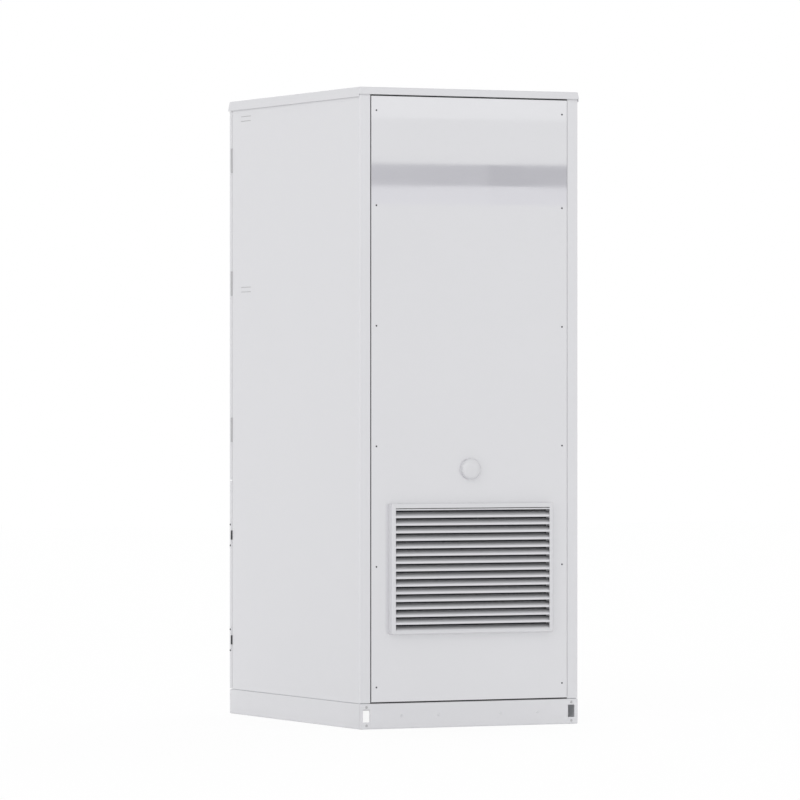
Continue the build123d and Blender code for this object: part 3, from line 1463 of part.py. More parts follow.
def hinge_socket(z):
    """The upper hinge half on the door: knuckle with its bore and a leaf in the door tray."""
    top = z + hinge_length(z) / 2
    low = z + SOFT_GAP
    half = knuckle(low, top)
    half += block(
        WALL_INNER - HINGE_LEAF,
        WALL_INNER,
        HINGE_Y - HINGE_DOOR_REACH,
        HINGE_Y - HINGE_LEAF_SETBACK,
        low,
        top,
    )
    bore = HINGE_PIN_RADIUS + SHAFT_FIT
    return half - disc_z(HINGE_X, HINGE_Y, bore, low - 1, top - HINGE_BORE_END)


def make_upper_hinge_sockets():
    return [hinge_socket(z) for z in UPPER_HINGE_HEIGHTS]


def make_lower_hinge_sockets():
    return [hinge_socket(z) for z in LOWER_HINGE_HEIGHTS]


def make_lower_hinge_straps():
    """Cover plates on the edge of the lower door at its hinges, with their screws."""
    pieces = []
    x0 = HALF_WIDTH
    y1 = HINGE_Y - KNUCKLE_RADIUS - KNUCKLE_RELIEF
    for z in LOWER_HINGE_HEIGHTS:
        strap = block(
            x0, x0 + STRAP_GAUGE, y1 - STRAP_WIDTH, y1, z - STRAP_LENGTH / 2, z + STRAP_LENGTH / 2
        )
        pieces.append(strap)
        for sign in (-1, 1):
            screw_z = z + sign * STRAP_SCREW_PITCH / 2
            face = Pos(y1 - STRAP_WIDTH / 2, screw_z) * Circle(STRAP_SCREW_RADIUS)
            seat = x0 + STRAP_GAUGE
            pieces.append(run_x(face, seat, seat + STRAP_SCREW_HEAD))
    return pieces


# Handles and latch


def lever_handle(z):
    """A lever outside the door, its spindle, and the latch tongue plate inside."""
    collar_back = DOOR_FACE - SOFT_GAP
    lever_back = DOOR_FACE - HANDLE_STANDOFF
    hull = make_hull(
        (
            (Pos(HANDLE_X, z) * Circle(HANDLE_HUB_RADIUS)).edges()
            + (Pos(HANDLE_X + HANDLE_LENGTH, z) * Circle(HANDLE_TIP_RADIUS)).edges()
        )
    )
    lever = run_y(hull, lever_back - HANDLE_THICKNESS, lever_back)
    lever = chamfer(lever.edges().group_by(Axis.Y)[0], HANDLE_EDGE)
    collar_radius = HANDLE_HUB_RADIUS - HANDLE_COLLAR_STEP
    collar = disc_y(HANDLE_X, z, collar_radius, lever_back, collar_back)
    spindle_end = DOOR_FACE + SHELL_GAUGE + SPINDLE_REACH
    spindle = disc_y(HANDLE_X, z, SPINDLE_RADIUS, collar_back, spindle_end)
    shank = disc_y(HANDLE_X, z, SHANK_RADIUS, spindle_end, CAM_FRONT)
    plate = disc_y(HANDLE_X, z, CAM_RADIUS, CAM_FRONT, CAM_FRONT + CAM_GAUGE)
    half = TONGUE_WIDTH / 2
    tongue = block(
        HANDLE_X - half,
        HANDLE_X + half,
        CAM_FRONT,
        CAM_FRONT + CAM_GAUGE,
        z - TONGUE_LENGTH,
        z,
    )
    return lever + collar + spindle + shank + plate + tongue


def make_upper_handle():
    """The upper handle also carries the two pins that drive the latch rods."""
    z = UPPER_HANDLE_HEIGHT
    handle = lever_handle(z)
    offset = CAM_PIN_CIRCLE * math.sin(math.radians(CAM_PIN_ANGLE))
    for sign in (-1, 1):
        handle += disc_y(
            HANDLE_X + sign * offset,
            z + sign * offset,
            CAM_PIN_RADIUS,
            ROD_FRONT - CAM_PIN_PROUD,
            CAM_FRONT,
        )
    return handle


def make_lower_handle():
    return lever_handle(LOWER_HANDLE_HEIGHT)


def latch_rod(sign, tip):
    """A flat rod with a cross slot for its cam pin: it turns the pin's arc into a lift."""
    x = rod_x(sign)
    eye_z = UPPER_HANDLE_HEIGHT + sign * ROD_TRAVEL / 2
    swing = CAM_PIN_CIRCLE * (1 - math.cos(math.radians(CAM_PIN_ANGLE)))
    slot_height = 2 * (CAM_PIN_RADIUS + CAM_PIN_LAG + SOFT_GAP)
    slot_length = swing + slot_height
    eye_length = slot_length + 2 * ROD_EYE_WALL
    eye = RectangleRounded(eye_length, ROD_EYE_HEIGHT, ROD_EYE_WALL)
    eye -= SlotOverall(slot_length, slot_height)
    back = ROD_FRONT + ROD_GAUGE
    rod = run_y(Pos(x, eye_z) * eye, ROD_FRONT, back)
    start = eye_z - sign * (slot_height / 2 + ROD_EYE_LAP)
    z0, z1 = sorted((start, tip))
    bar = block(x - ROD_WIDTH / 2, x + ROD_WIDTH / 2, ROD_FRONT, back, z0, z1)
    return rod + bar


def make_upper_latch_rod():
    return latch_rod(-1, HEADER_BOTTOM - ROD_TIP_MARGIN)


def make_lower_latch_rod():
    return latch_rod(1, MID_RAIL_TOP + ROD_TIP_MARGIN)


def solids_of(made):
    """Every closed solid of a part or of a list of parts."""
    if isinstance(made, (list, tuple)):
        return [solid for piece in made for solid in piece.solids()]
    return list(made.solids())


def save(name, made):
    solids = solids_of(made)
    shape = solids[0] if len(solids) == 1 else Compound(children=solids)
    shape.label = name
    export_step(shape, f"parts/{name}.step")


def main():
    os.makedirs("parts", exist_ok=True)
    save("plinth_front_rail", make_plinth_front_rail())
    save("plinth_rear_rail", make_plinth_rear_rail())
    save("plinth_left_rail", make_plinth_left_rail())
    save("plinth_right_rail", make_plinth_right_rail())
    save("plinth_screws", make_plinth_screws())
    save("base_tray", make_base_tray())
    save("gland_plate", make_gland_plate())
    save("cable_glands", make_cable_glands())
    save("side_panel_left", make_side_panel_left())
    save("side_panel_right", make_side_panel_right())
    save("front_header", make_front_header())
    save("rear_header", make_rear_header())
    save("mid_rail", make_mid_rail())
    save("partition_shelf", make_partition_shelf())
    save("roof_deck", make_roof_deck())
    save("roof_cover", make_roof_cover())
    save("rear_panel", [make_rear_panel()] + make_rear_stiffeners())
    save("rear_panel_seal", make_rear_seal())
    save("rear_panel_screws", make_rear_screws())
    save("louvre_hood", make_louvre_hood())
    save("louvre_slats", make_louvre_slats())
    save("louvre_filter", make_louvre_filter())
    save("vent_cap", make_vent_cap())
    save("vent_spigot", make_vent_spigot())
    save("rack_posts", make_rack_posts())
    save("rack_runners", make_rack_runners())
    for level in range(RACK_LEVELS):
        save(f"battery_pack_{level + 1}", make_battery_pack(level))
    save("pack_fittings", make_pack_fittings())
    save("coolant_supply_manifold", make_manifold(-1))
    save("coolant_return_manifold", make_manifold(1))
    save("control_box", make_control_box())
    save("isolator_handle", make_isolator_handle())
    save("stop_button", make_stop_button())
    save("cooling_unit_frame", make_unit_frame())
    save("condenser_coil", make_condenser_coil())
    save("fan_shroud", make_fan_shroud())
    save("fan_motor", make_fan_motor())
    save("fan_rotor", make_fan_rotor())
    save("compressor", make_compressor())
    save("inverter", make_inverter())
    save("fire_canister", [make_fire_canister(), make_canister_clamp()])
    save("smoke_detector", make_smoke_detector())
    save("upper_door", make_upper_door())
    save("upper_door_frame", make_upper_door_frame())
    save("upper_door_seal", door_seal(UPPER_DOOR_BOTTOM, UPPER_DOOR_TOP))
    save("upper_hinge_sockets", make_upper_hinge_sockets())
    save("upper_handle", make_upper_handle())
    save("upper_latch_rod", make_upper_latch_rod())
    save("lower_latch_rod", make_lower_latch_rod())
    save("lower_door", make_lower_door())
    save("lower_door_frame", make_lower_door_frame())
    save("lower_door_seal", door_seal(LOWER_DOOR_BOTTOM, LOWER_DOOR_TOP))
    save("lower_hinge_sockets", make_lower_hinge_sockets())
    save("lower_hinge_straps", make_lower_hinge_straps())
    save("lower_handle", make_lower_handle())
    save("hinge_pintles", make_hinge_pintles())


main()
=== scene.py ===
import json
import math

import bmesh
import bpy
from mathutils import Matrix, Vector


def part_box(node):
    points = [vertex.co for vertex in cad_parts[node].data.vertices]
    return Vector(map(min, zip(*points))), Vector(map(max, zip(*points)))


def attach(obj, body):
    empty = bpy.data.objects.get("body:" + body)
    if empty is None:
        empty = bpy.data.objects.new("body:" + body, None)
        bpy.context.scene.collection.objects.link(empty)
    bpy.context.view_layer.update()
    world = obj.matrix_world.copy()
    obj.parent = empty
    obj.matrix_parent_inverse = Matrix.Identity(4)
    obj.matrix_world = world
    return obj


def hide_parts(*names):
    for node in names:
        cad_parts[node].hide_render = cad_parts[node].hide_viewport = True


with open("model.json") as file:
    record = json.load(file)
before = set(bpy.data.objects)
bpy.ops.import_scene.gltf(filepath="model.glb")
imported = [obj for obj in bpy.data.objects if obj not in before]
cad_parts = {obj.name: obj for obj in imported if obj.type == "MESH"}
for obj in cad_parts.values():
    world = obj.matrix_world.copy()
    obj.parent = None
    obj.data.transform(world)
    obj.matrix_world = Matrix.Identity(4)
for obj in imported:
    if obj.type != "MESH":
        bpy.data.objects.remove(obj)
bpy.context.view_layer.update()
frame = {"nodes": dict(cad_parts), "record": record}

# Lengths are in metres, or in millimetres where a name ends in MM, and angles are in radians.
# +Z is up, the doors face -Y and the louvred rear panel faces +Y.

MM = 0.001

# Camera, solved from the edges and screws of the photograph
CAMERA_PLACE = (9.3067, 19.5866, 1.2385)
CAMERA_FORWARD = (-0.429015, -0.903297, -0.0004)
LENS_MM = 252.6
SENSOR_MM = 36.0
CLIP_END = 200.0

# Studio light and floor
WHITE = (1.0, 1.0, 1.0, 1.0)
WORLD_LIGHT = 0.8
LAMP_SHARE = 0.2
LAMP_HEIGHT = math.radians(14)
LAMP_TURN = math.radians(45)
LAMP_SPREAD = math.radians(70)
FLOOR_SIZE = 60.0
FLOOR_SHADOW = 0.1
FLOOR_COLOUR = (0.97, 0.97, 0.97, 1.0)

# Studio flags that the rear panel reflects
STRIP_DISTANCE = 1.35
STRIP_MIDDLE_X = -0.66
STRIP_SLOPE = -0.008
STRIP_BOTTOM = 2.0914
STRIP_TOP = 2.1787
STRIP_SPLIT_X = -0.744
STRIP_END_X = 1.6
STRIP_FRINGE = 0.075
GLOW_BOTTOM = 2.362
GLOW_TOP = 2.9
STRIP_LEFT_LIGHT = (0.24, 0.23, 0.30)
STRIP_RIGHT_LIGHT = (0.12, 0.11, 0.18)
FRINGE_LEFT_LIGHT = (0.91, 0.90, 0.96)
FRINGE_RIGHT_LIGHT = (0.88, 0.87, 0.93)
GLOW_LIGHT = (1.19, 1.19, 1.19)

# Colours, linear
SHELL_COLOUR = (0.69, 0.69, 0.712)
PANEL_COLOUR = (0.70, 0.70, 0.722)
PLINTH_COLOUR = (0.69, 0.69, 0.712)
ROOF_COLOUR = (0.675, 0.675, 0.697)
# Painted shade in the grooves of the side panels
GROOVE_SHADE_COLOUR = (0.46, 0.46, 0.47)
HOOD_COLOUR = (0.66, 0.66, 0.682)
SLAT_COLOUR = (0.665, 0.665, 0.69)
# Painted shade: the slats' colour at the back of the louvre
SLAT_PAINTED_SHADE = (0.2, 0.2, 0.21)
STRAP_COLOUR = (0.72, 0.72, 0.74)
VENT_COLOUR = (0.665, 0.665, 0.685)
HINGE_GREY = (0.44, 0.44, 0.45)
HINGE_BLACK = (0.03, 0.03, 0.034)
FILTER_BLACK = (0.055, 0.055, 0.062)
RUBBER_BLACK = (0.025, 0.025, 0.025)
HANDLE_BLACK = (0.022, 0.022, 0.024)
GLAND_BLACK = (0.03, 0.03, 0.032)
MOTOR_BLACK = (0.045, 0.045, 0.05)
SCREW_BLACK = (0.025, 0.025, 0.028)
SCREW_STEEL = (0.50, 0.50, 0.51)
ROD_STEEL = (0.60, 0.60, 0.60)
PIPE_STEEL = (0.66, 0.68, 0.70)
COIL_METAL = (0.55, 0.57, 0.59)
ZINC = (0.56, 0.58, 0.60)
PACK_GREY = (0.085, 0.09, 0.095)
CONTROL_GREY = (0.12, 0.125, 0.13)
FITTING_ORANGE = (0.62, 0.13, 0.015)
ISOLATOR_RED = (0.52, 0.018, 0.012)
CANISTER_RED = (0.42, 0.014, 0.011)
DETECTOR_WHITE = (0.78, 0.78, 0.76)

# Textures: (scale, detail)
CLOUD = (3.0, 3.0)
PEEL = (900.0, 2.0)
BRUSH = (60.0, 4.0)
MOULD = (1400.0, 2.0)
MOULD_CLOUD = (12.0, 3.0)
PORES = (700.0, 5.0)
SAND = (350.0, 6.0)
SPANGLE_SCALE = 90.0
GRAIN_ALONG_Z = (1.0, 1.0, 30.0)
GRAIN_ALONG_Y = (1.0, 30.0, 1.0)

# Relief: (depth, strength)
PEEL_RELIEF = (0.00005, 0.25)
BRUSH_RELIEF = (0.00004, 0.2)
MOULD_RELIEF = (0.00006, 0.3)
PORE_RELIEF = (0.0001, 0.4)
SAND_RELIEF = (0.0002, 0.5)

# How far a texture varies the brightness, and the roughness to either side
COAT_TINT = 0.012
SPANGLE_TINT = 0.08
BRUSH_TINT = 0.06
MOULD_TINT = 0.03
PORE_TINT = 0.15
SAND_TINT = 0.1
COAT_SPREAD = (-0.02, 0.02)
BRUSH_SPREAD = (-0.06, 0.08)
MOULD_SPREAD = (-0.04, 0.05)

COAT_ROUGHNESS = 0.42
ZINC_ROUGHNESS = (0.34, 0.48)
RUBBER_ROUGHNESS = 0.85
CAST_ROUGHNESS = 0.5
ZINC_METALLIC = 0.75
BRUSH_METALLIC = 0.9
CAST_METALLIC = 0.2

# Roughness, metallic and share of the orange peel on the glossy rear panel
PANEL_COAT = (0.055, 0.34, 0.15)


# Camera and studio


def make_camera():
    data = bpy.data.cameras.new("camera")
    data.lens = LENS_MM
    data.sensor_width = SENSOR_MM
    data.clip_end = CLIP_END
    camera = bpy.data.objects.new("camera", data)
    camera.location = CAMERA_PLACE
    camera.rotation_euler = Vector(CAMERA_FORWARD).to_track_quat("-Z", "Y").to_euler()
    bpy.context.scene.collection.objects.link(camera)
    bpy.context.scene.camera = camera


def set_inputs(tree, node, **inputs):
    """Sets inputs of a node to values or links them to outputs. A _ stands for a space."""
    for name, value in inputs.items():
        socket = node.inputs[name.replace("_", " ")]
        if isinstance(value, bpy.types.NodeSocket):
            tree.links.new(value, socket)
        else:
            socket.default_value = value
    return node


def add_node(tree, kind, **inputs):
    return set_inputs(tree, tree.nodes.new("ShaderNode" + kind), **inputs)


def mix_shaders(tree, share, first, second):
    mix = add_node(tree, "MixShader", Fac=share)
    tree.links.new(first, mix.inputs[1])
    tree.links.new(second, mix.inputs[2])
    return mix.outputs["Shader"]


def seen_directly(tree):
    """1 where the camera, a reflection or clear material looks at a surface, else 0."""
    path = add_node(tree, "LightPath")
    total = path.outputs["Is Camera Ray"]
    for ray in ("Is Glossy Ray", "Is Transmission Ray"):
        either = add_node(tree, "Math")
        either.operation = "MAXIMUM"
        tree.links.new(total, either.inputs[0])
        tree.links.new(path.outputs[ray], either.inputs[1])
        total = either.outputs["Value"]
    return total


def make_world():
    """White to the camera and in reflections, a little dimmer as light on the object."""
    world = bpy.data.worlds.new("studio")
    world.use_nodes = True
    tree = world.node_tree
    strength = add_node(tree, "MapRange", Value=seen_directly(tree), To_Min=WORLD_LIGHT, To_Max=1.0)
    background = tree.nodes["Background"]
    set_inputs(tree, background, Color=WHITE, Strength=strength.outputs["Result"])
    bpy.context.scene.world = world


def make_lamps():
    """Two wide soft lamps on opposite corners, which give each upright side the same light."""
    slant = math.cos(LAMP_HEIGHT) * math.cos(LAMP_TURN)
    for name, side in (("lamp_rear", 1), ("lamp_front", -1)):
        data = bpy.data.lights.new(name, "SUN")
        data.energy = math.pi * LAMP_SHARE / slant
        data.angle = LAMP_SPREAD
        lamp = bpy.data.objects.new(name, data)
        x, y = side * math.sin(LAMP_TURN), side * math.cos(LAMP_TURN)
        toward = Vector((x, y, math.tan(LAMP_HEIGHT)))
        lamp.rotation_euler = toward.to_track_quat("Z", "Y").to_euler()
        bpy.context.scene.collection.objects.link(lamp)


def bare_material(name):
    """A material with nothing in it but its output."""
    material = bpy.data.materials.new(name)
    material.use_nodes = True
    material.node_tree.nodes.clear()
    return material, material.node_tree, add_node(material.node_tree, "OutputMaterial")


def floor_material():
    """Pale floor that stays as bright as the backdrop and keeps a faint contact shadow."""
    material, tree, output = bare_material("floor")
    plain = add_node(tree, "BsdfDiffuse", Color=FLOOR_COLOUR).outputs["BSDF"]
    pale = add_node(tree, "BsdfDiffuse", Color=WHITE).outputs["BSDF"]
    glow = add_node(tree, "Emission", Strength=1.0).outputs["Emission"]
    seen = mix_shaders(tree, FLOOR_SHADOW, glow, pale)
    set_inputs(tree, output, Surface=mix_shaders(tree, seen_directly(tree), plain, seen))
    return material


def stage_rectangle(name, corners, material):
    mesh = bpy.data.meshes.new(name)
    mesh.from_pydata(corners, [], [(0, 1, 2, 3)])
    mesh.materials.append(material)
    thing = bpy.data.objects.new(name, mesh)
    bpy.context.scene.collection.objects.link(thing)
    return thing


def make_floor():
    half = FLOOR_SIZE / 2
    corners = [(-half, -half, 0), (half, -half, 0), (half, half, 0), (-half, half, 0)]
    stage_rectangle("floor", corners, floor_material())


def flag_material(name, colour):
    material, tree, output = bare_material(name)
    glow = add_node(tree, "Emission", Color=(*colour, 1.0))
    set_inputs(tree, output, Surface=glow.outputs["Emission"])
    return material


def make_flag(name, x0, x1, z0, z1, colour):
    """A studio flag that shows only in glossy reflections on the rear panel."""
    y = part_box("rear_panel")[1].y + STRIP_DISTANCE
    lift0 = STRIP_SLOPE * (x0 - STRIP_MIDDLE_X)
    lift1 = STRIP_SLOPE * (x1 - STRIP_MIDDLE_X)
    corners = [(x0, y, z0 + lift0), (x1, y, z0 + lift1), (x1, y, z1 + lift1), (x0, y, z1 + lift0)]
    flag = stage_rectangle(name, corners, flag_material(name, colour))
    flag.visible_camera = False
    flag.visible_diffuse = False
    flag.visible_transmission = False
    flag.visible_shadow = False
    flag.visible_volume_scatter = False


def make_flags():
    left = (STRIP_SPLIT_X, STRIP_END_X)
    right = (-STRIP_END_X, STRIP_SPLIT_X)
    fringe = STRIP_BOTTOM - STRIP_FRINGE
    make_flag("flag_left", *left, STRIP_BOTTOM, STRIP_TOP, STRIP_LEFT_LIGHT)
    make_flag("flag_right", *right, STRIP_BOTTOM, STRIP_TOP, STRIP_RIGHT_LIGHT)
    make_flag("fringe_left", *left, fringe, STRIP_BOTTOM, FRINGE_LEFT_LIGHT)
    make_flag("fringe_right", *right, fringe, STRIP_BOTTOM, FRINGE_RIGHT_LIGHT)
    make_flag("glow_above", -STRIP_END_X, STRIP_END_X, GLOW_BOTTOM, GLOW_TOP, GLOW_LIGHT)


# Materials


def new_material(name):
    material = bpy.data.materials.new(name)
    material.use_nodes = True
    return material, material.node_tree, material.node_tree.nodes["Principled BSDF"]


def coordinates(tree):
    return add_node(tree, "TexCoord").outputs["Object"]


def position(tree, axis):
    return add_node(tree, "SeparateXYZ", Vector=coordinates(tree)).outputs[axis]


def noise(tree, scale, detail, stretch=None):
    place = coordinates(tree)
    if stretch:
        place = add_node(tree, "Mapping", Vector=place, Scale=stretch).outputs["Vector"]
    return add_node(tree, "TexNoise", Vector=place, Scale=scale, Detail=detail).outputs["Fac"]


def ramp(tree, factor, low, high, start=0.3, end=0.7):
    """Maps a texture's middle range to values between low and high."""
    mapped = add_node(tree, "MapRange", Value=factor, From_Min=start, From_Max=end)
    return set_inputs(tree, mapped, To_Min=low, To_Max=high).outputs["Result"]


def vary(tree, factor, value, changes):
    """A value, varied between two changes along the factor."""
    return ramp(tree, factor, *[value + change for change in changes])


def blend(tree, factor, first, second):
    """A colour between two, by a factor."""
    mix = add_node(tree, "Mix")
    mix.data_type = "RGBA"
    set_inputs(tree, mix, A=(*first, 1.0), B=(*second, 1.0), Factor=factor)
    return mix.outputs["Result"]


def tint(tree, factor, colour, change):
    """The colour, varied in brightness by the change along the factor."""
    darker = [c * (1 - change) for c in colour]
    lighter = [min(1.0, c * (1 + change)) for c in colour]
    return blend(tree, factor, darker, lighter)


def bump(tree, height, depth, strength):
    relief = add_node(tree, "Bump", Height=height, Distance=depth, Strength=strength)
    return relief.outputs["Normal"]


def powder_coat(name, colour, roughness=COAT_ROUGHNESS, metallic=0.0, texture=1.0):
    """Sprayed paint with a fine orange peel and very slight cloudiness."""
    material, tree, shader = new_material(name)
    cloud = noise(tree, *CLOUD)
    depth, strength = PEEL_RELIEF
    relief = bump(tree, noise(tree, *PEEL), depth * texture, strength)
    gloss = vary(tree, cloud, roughness, COAT_SPREAD)
    paint = tint(tree, cloud, colour, COAT_TINT)
    set_inputs(tree, shader, Base_Color=paint, Roughness=gloss, Normal=relief, Metallic=metallic)
    return material


def painted_shade_coat(name, colour, shade, deep, front):
    """Powder coat on the louvre slats, with painted shade that darkens them from the front towards
    the back of the louvre.
    """
    material, tree, shader = new_material(name)
    # Painted shade: a ramp along Y from the back of the slats to their front
    depth = ramp(tree, position(tree, "Y"), 0.0, 1.0, deep, front)
    relief = bump(tree, noise(tree, *PEEL), *PEEL_RELIEF)
    paint = blend(tree, depth, shade, colour)
    set_inputs(tree, shader, Base_Color=paint, Roughness=COAT_ROUGHNESS, Normal=relief)
    return material


def galvanised(name, colour):
    """Zinc with a soft spangle."""
    material, tree, shader = new_material(name)
    spangle = add_node(tree, "TexVoronoi", Vector=coordinates(tree), Scale=SPANGLE_SCALE)
    flakes = add_node(tree, "SeparateColor", Color=spangle.outputs["Color"])
    flake = flakes.outputs["Red"]
    gloss = ramp(tree, flake, *ZINC_ROUGHNESS, 0.0, 1.0)
    paint = tint(tree, flake, colour, SPANGLE_TINT)
    set_inputs(tree, shader, Base_Color=paint, Roughness=gloss, Metallic=ZINC_METALLIC)
    return material


def brushed_metal(name, colour, roughness, stretch=GRAIN_ALONG_Z):
    """Metal with fine grain along one direction."""
    material, tree, shader = new_material(name)
    grain = noise(tree, *BRUSH, stretch)
    relief = bump(tree, grain, *BRUSH_RELIEF)
    gloss = vary(tree, grain, roughness, BRUSH_SPREAD)
    paint = tint(tree, grain, colour, BRUSH_TINT)
    set_inputs(tree, shader, Base_Color=paint, Roughness=gloss, Normal=relief)
    shader.inputs["Metallic"].default_value = BRUSH_METALLIC
    return material


def plastic(name, colour, roughness):
    """Moulded plastic with a fine eroded texture."""
    material, tree, shader = new_material(name)
    grain = noise(tree, *MOULD)
    relief = bump(tree, grain, *MOULD_RELIEF)
    gloss = vary(tree, grain, roughness, MOULD_SPREAD)
    paint = tint(tree, noise(tree, *MOULD_CLOUD), colour, MOULD_TINT)
    set_inputs(tree, shader, Base_Color=paint, Roughness=gloss, Normal=relief)
    return material


def rubber(name, colour):
    """Matt rubber with pores."""
    material, tree, shader = new_material(name)
    pores = noise(tree, *PORES)
    relief = bump(tree, pores, *PORE_RELIEF)
    paint = tint(tree, pores, colour, PORE_TINT)
    set_inputs(tree, shader, Base_Color=paint, Roughness=RUBBER_ROUGHNESS, Normal=relief)
    return material


def cast_surface(tree, shader):
    """Gives a shader the relief and finish of a casting, and returns its sand texture."""
    sand = noise(tree, *SAND)
    relief = bump(tree, sand, *SAND_RELIEF)
    set_inputs(tree, shader, Normal=relief, Roughness=CAST_ROUGHNESS, Metallic=CAST_METALLIC)
    return sand


def cast_metal(name, colour):
    material, tree, shader = new_material(name)
    sand = cast_surface(tree, shader)
    set_inputs(tree, shader, Base_Color=tint(tree, sand, colour, SAND_TINT))
    return material


def two_tone_metal(name, below, above, split):
    """Painted castings, in one colour below a height and another above it."""
    material, tree, shader = new_material(name)
    cast_surface(tree, shader)
    upper = add_node(tree, "Math")
    upper.operation = "GREATER_THAN"
    upper.inputs[1].default_value = split
    tree.links.new(position(tree, "Z"), upper.inputs[0])
    set_inputs(tree, shader, Base_Color=blend(tree, upper.outputs["Value"], below, above))
    return material


def make_materials():
    """Each material by name, from what makes it, its colour and its roughness."""
    recipes = {
        "shell": (powder_coat, SHELL_COLOUR),
        "rear_panel": (powder_coat, PANEL_COLOUR, *PANEL_COAT),
        "plinth": (powder_coat, PLINTH_COLOUR),
        "roof": (powder_coat, ROOF_COLOUR),
        # The groove finish is painted shade on the floors of the side panels' grooves
        "groove": (powder_coat, GROOVE_SHADE_COLOUR, 0.6),
        "louvre": (powder_coat, HOOD_COLOUR, 0.38),
        "strap": (powder_coat, STRAP_COLOUR),
        "pack": (powder_coat, PACK_GREY, 0.5),
        "control": (powder_coat, CONTROL_GREY, 0.48),
        "canister": (powder_coat, CANISTER_RED, 0.3),
        "filter": (plastic, FILTER_BLACK, 0.6),
        "vent": (plastic, VENT_COLOUR, 0.4),
        "hinge_black": (plastic, HINGE_BLACK, 0.4),
        "handle": (plastic, HANDLE_BLACK, 0.42),
        "fitting": (plastic, FITTING_ORANGE, 0.4),
        "isolator": (plastic, ISOLATOR_RED, 0.35),
        "fan": (plastic, HANDLE_BLACK, 0.5),
        "detector": (plastic, DETECTOR_WHITE, 0.3),
        "gland": (plastic, GLAND_BLACK, 0.5),
        "screw_dark": (brushed_metal, SCREW_BLACK, 0.4),
        "screw_plain": (brushed_metal, SCREW_STEEL, 0.35),
        "rod": (brushed_metal, ROD_STEEL, 0.3),
        "pipe": (brushed_metal, PIPE_STEEL, 0.28),
        "coil": (brushed_metal, COIL_METAL, 0.4, GRAIN_ALONG_Y),
        "seal": (rubber, RUBBER_BLACK),
        "galvanised": (galvanised, ZINC),
        "hinge_grey": (cast_metal, HINGE_GREY),
        "motor": (cast_metal, MOTOR_BLACK),
    }
    return {name: make(name, *values) for name, (make, *values) in recipes.items()}


def dress_frame(materials):
    """Gives every CAD node the finish that the record names for it."""
    for part in frame["record"]["subparts"]:
        node = frame["nodes"][part["node"]]
        node.data.materials.clear()
        node.data.materials.append(materials[part["material_slot"]])
    low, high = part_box("louvre_slats")
    # The slats' coat is darkened towards the back of the louvre by painted shade
    slats = painted_shade_coat("louvre_slats", SLAT_COLOUR, SLAT_PAINTED_SHADE, low.y, high.y)
    frame["nodes"]["louvre_slats"].data.materials[0] = slats
    frame["nodes"]["roof_cover"].data.materials[0] = materials["roof"]
    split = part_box("upper_door")[0].z
    pintles = two_tone_metal("hinge_pintles", HINGE_BLACK, HINGE_GREY, split)
    frame["nodes"]["hinge_pintles"].data.materials[0] = pintles


# Pieces: shared forms

WELD_DISTANCE = 1e-6
ORDER_DIGITS = 4
SMOOTH_DEGREES = 40
ROUND_DEGREES = 50
PLEAT_DEGREES = 10

# Directions, with left and right as someone in front of the doors sees them
REAR = (0, 1, 0)
FRONT = (0, -1, 0)
RIGHT = (1, 0, 0)
LEFT = (-1, 0, 0)
UP = (0, 0, 1)
DOWN = (0, 0, -1)

# A turned profile lists (radius, height), or (corner radius, height, corners) for a polygon.
# These three are in shares of a radius and a height.
BUTTON_HEAD = ((1, 0), (1, 0.35), (0.9, 0.7), (0.68, 1), (0.55, 1, 6), (0.55, 0.3, 6), (0, 0.3))
HEX_HEAD = ((1.25, 0), (1.25, 0.2), (1, 0.2, 6), (1, 0.88, 6), (0.84, 1), (0, 1))
ROUND_BAR = ((0, 0), (1, 0), (1, 1), (0, 1))

# How many corners make a circle
LARGE_STEPS = 56
MEDIUM_STEPS = 48
SMALL_STEPS = 24
BAR_SIDES = 14
THIN_SIDES = 8


def corners_of(points):
    """The lowest and highest corner of the box round some points."""
    columns = list(zip(*points))
    return Vector([min(c) for c in columns]), Vector([max(c) for c in columns])


def islands(node):
    """The lowest and highest corner of each separate solid of a CAD node, from low to high."""
    bm = bmesh.new()
    bm.from_mesh(frame["nodes"][node].data)
    bmesh.ops.remove_doubles(bm, verts=bm.verts, dist=WELD_DISTANCE)
    left = set(bm.verts)
    found = []
    while left:
        reached = []
        stack = [left.pop()]
        while stack:
            vertex = stack.pop()
            reached.append(vertex.co)
            near = {other for edge in vertex.link_edges for other in edge.verts} & left
            left -= near
            stack.extend(near)
        found.append(corners_of(reached))
    bm.free()
    found.sort(key=lambda box: [round(box[0][i], ORDER_DIGITS) for i in (2, 0, 1)])
    return found


def middle(box):
    return (box[0] + box[1]) / 2


def ends(low, high, inset):
    """The two places that lie an inset within a low and a high one."""
    return low + inset, high - inset


def spread(low, high, count):
    """Evenly spaced values from a low one to a high one."""
    return [low + (high - low) * i / (count - 1) for i in range(count)]


def turns(count):
    """Angles that divide a full turn evenly."""
    return [2 * math.pi * i / count for i in range(count)]


def around(angle):
    """The direction at an angle in the XZ plane."""
    return Vector((math.cos(angle), 0, math.sin(angle)))


def piece(name, bm, finish, body="cabinet", smooth=SMOOTH_DEGREES):
    """Turns a mesh into a named piece that rides on a body and takes a finish."""
    mesh = bpy.data.meshes.new(name)
    bmesh.ops.recalc_face_normals(bm, faces=bm.faces)
    bm.to_mesh(mesh)
    bm.free()
    mesh.materials.append(finishes[finish])
    mesh.shade_smooth()
    mesh.set_sharp_from_angle(angle=math.radians(smooth))
    thing = bpy.data.objects.new(name, mesh)
    bpy.context.scene.collection.objects.link(thing)
    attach(thing, body)
    return thing


def scaled(profile, radius, height):
    """A profile of shares, stretched to a radius and a height."""
    return [(entry[0] * radius, entry[1] * height, *entry[2:]) for entry in profile]


def in_mm(profile):
    """A profile that is written in millimetres, in metres."""
    return scaled(profile, MM, MM)


def ring_radius(radius, angle, corners):
    """How far a regular polygon reaches at an angle, or a plain radius."""
    if not corners:
        return radius
    step = 2 * math.pi / corners
    return radius * math.cos(step / 2) / math.cos(angle % step - step / 2)


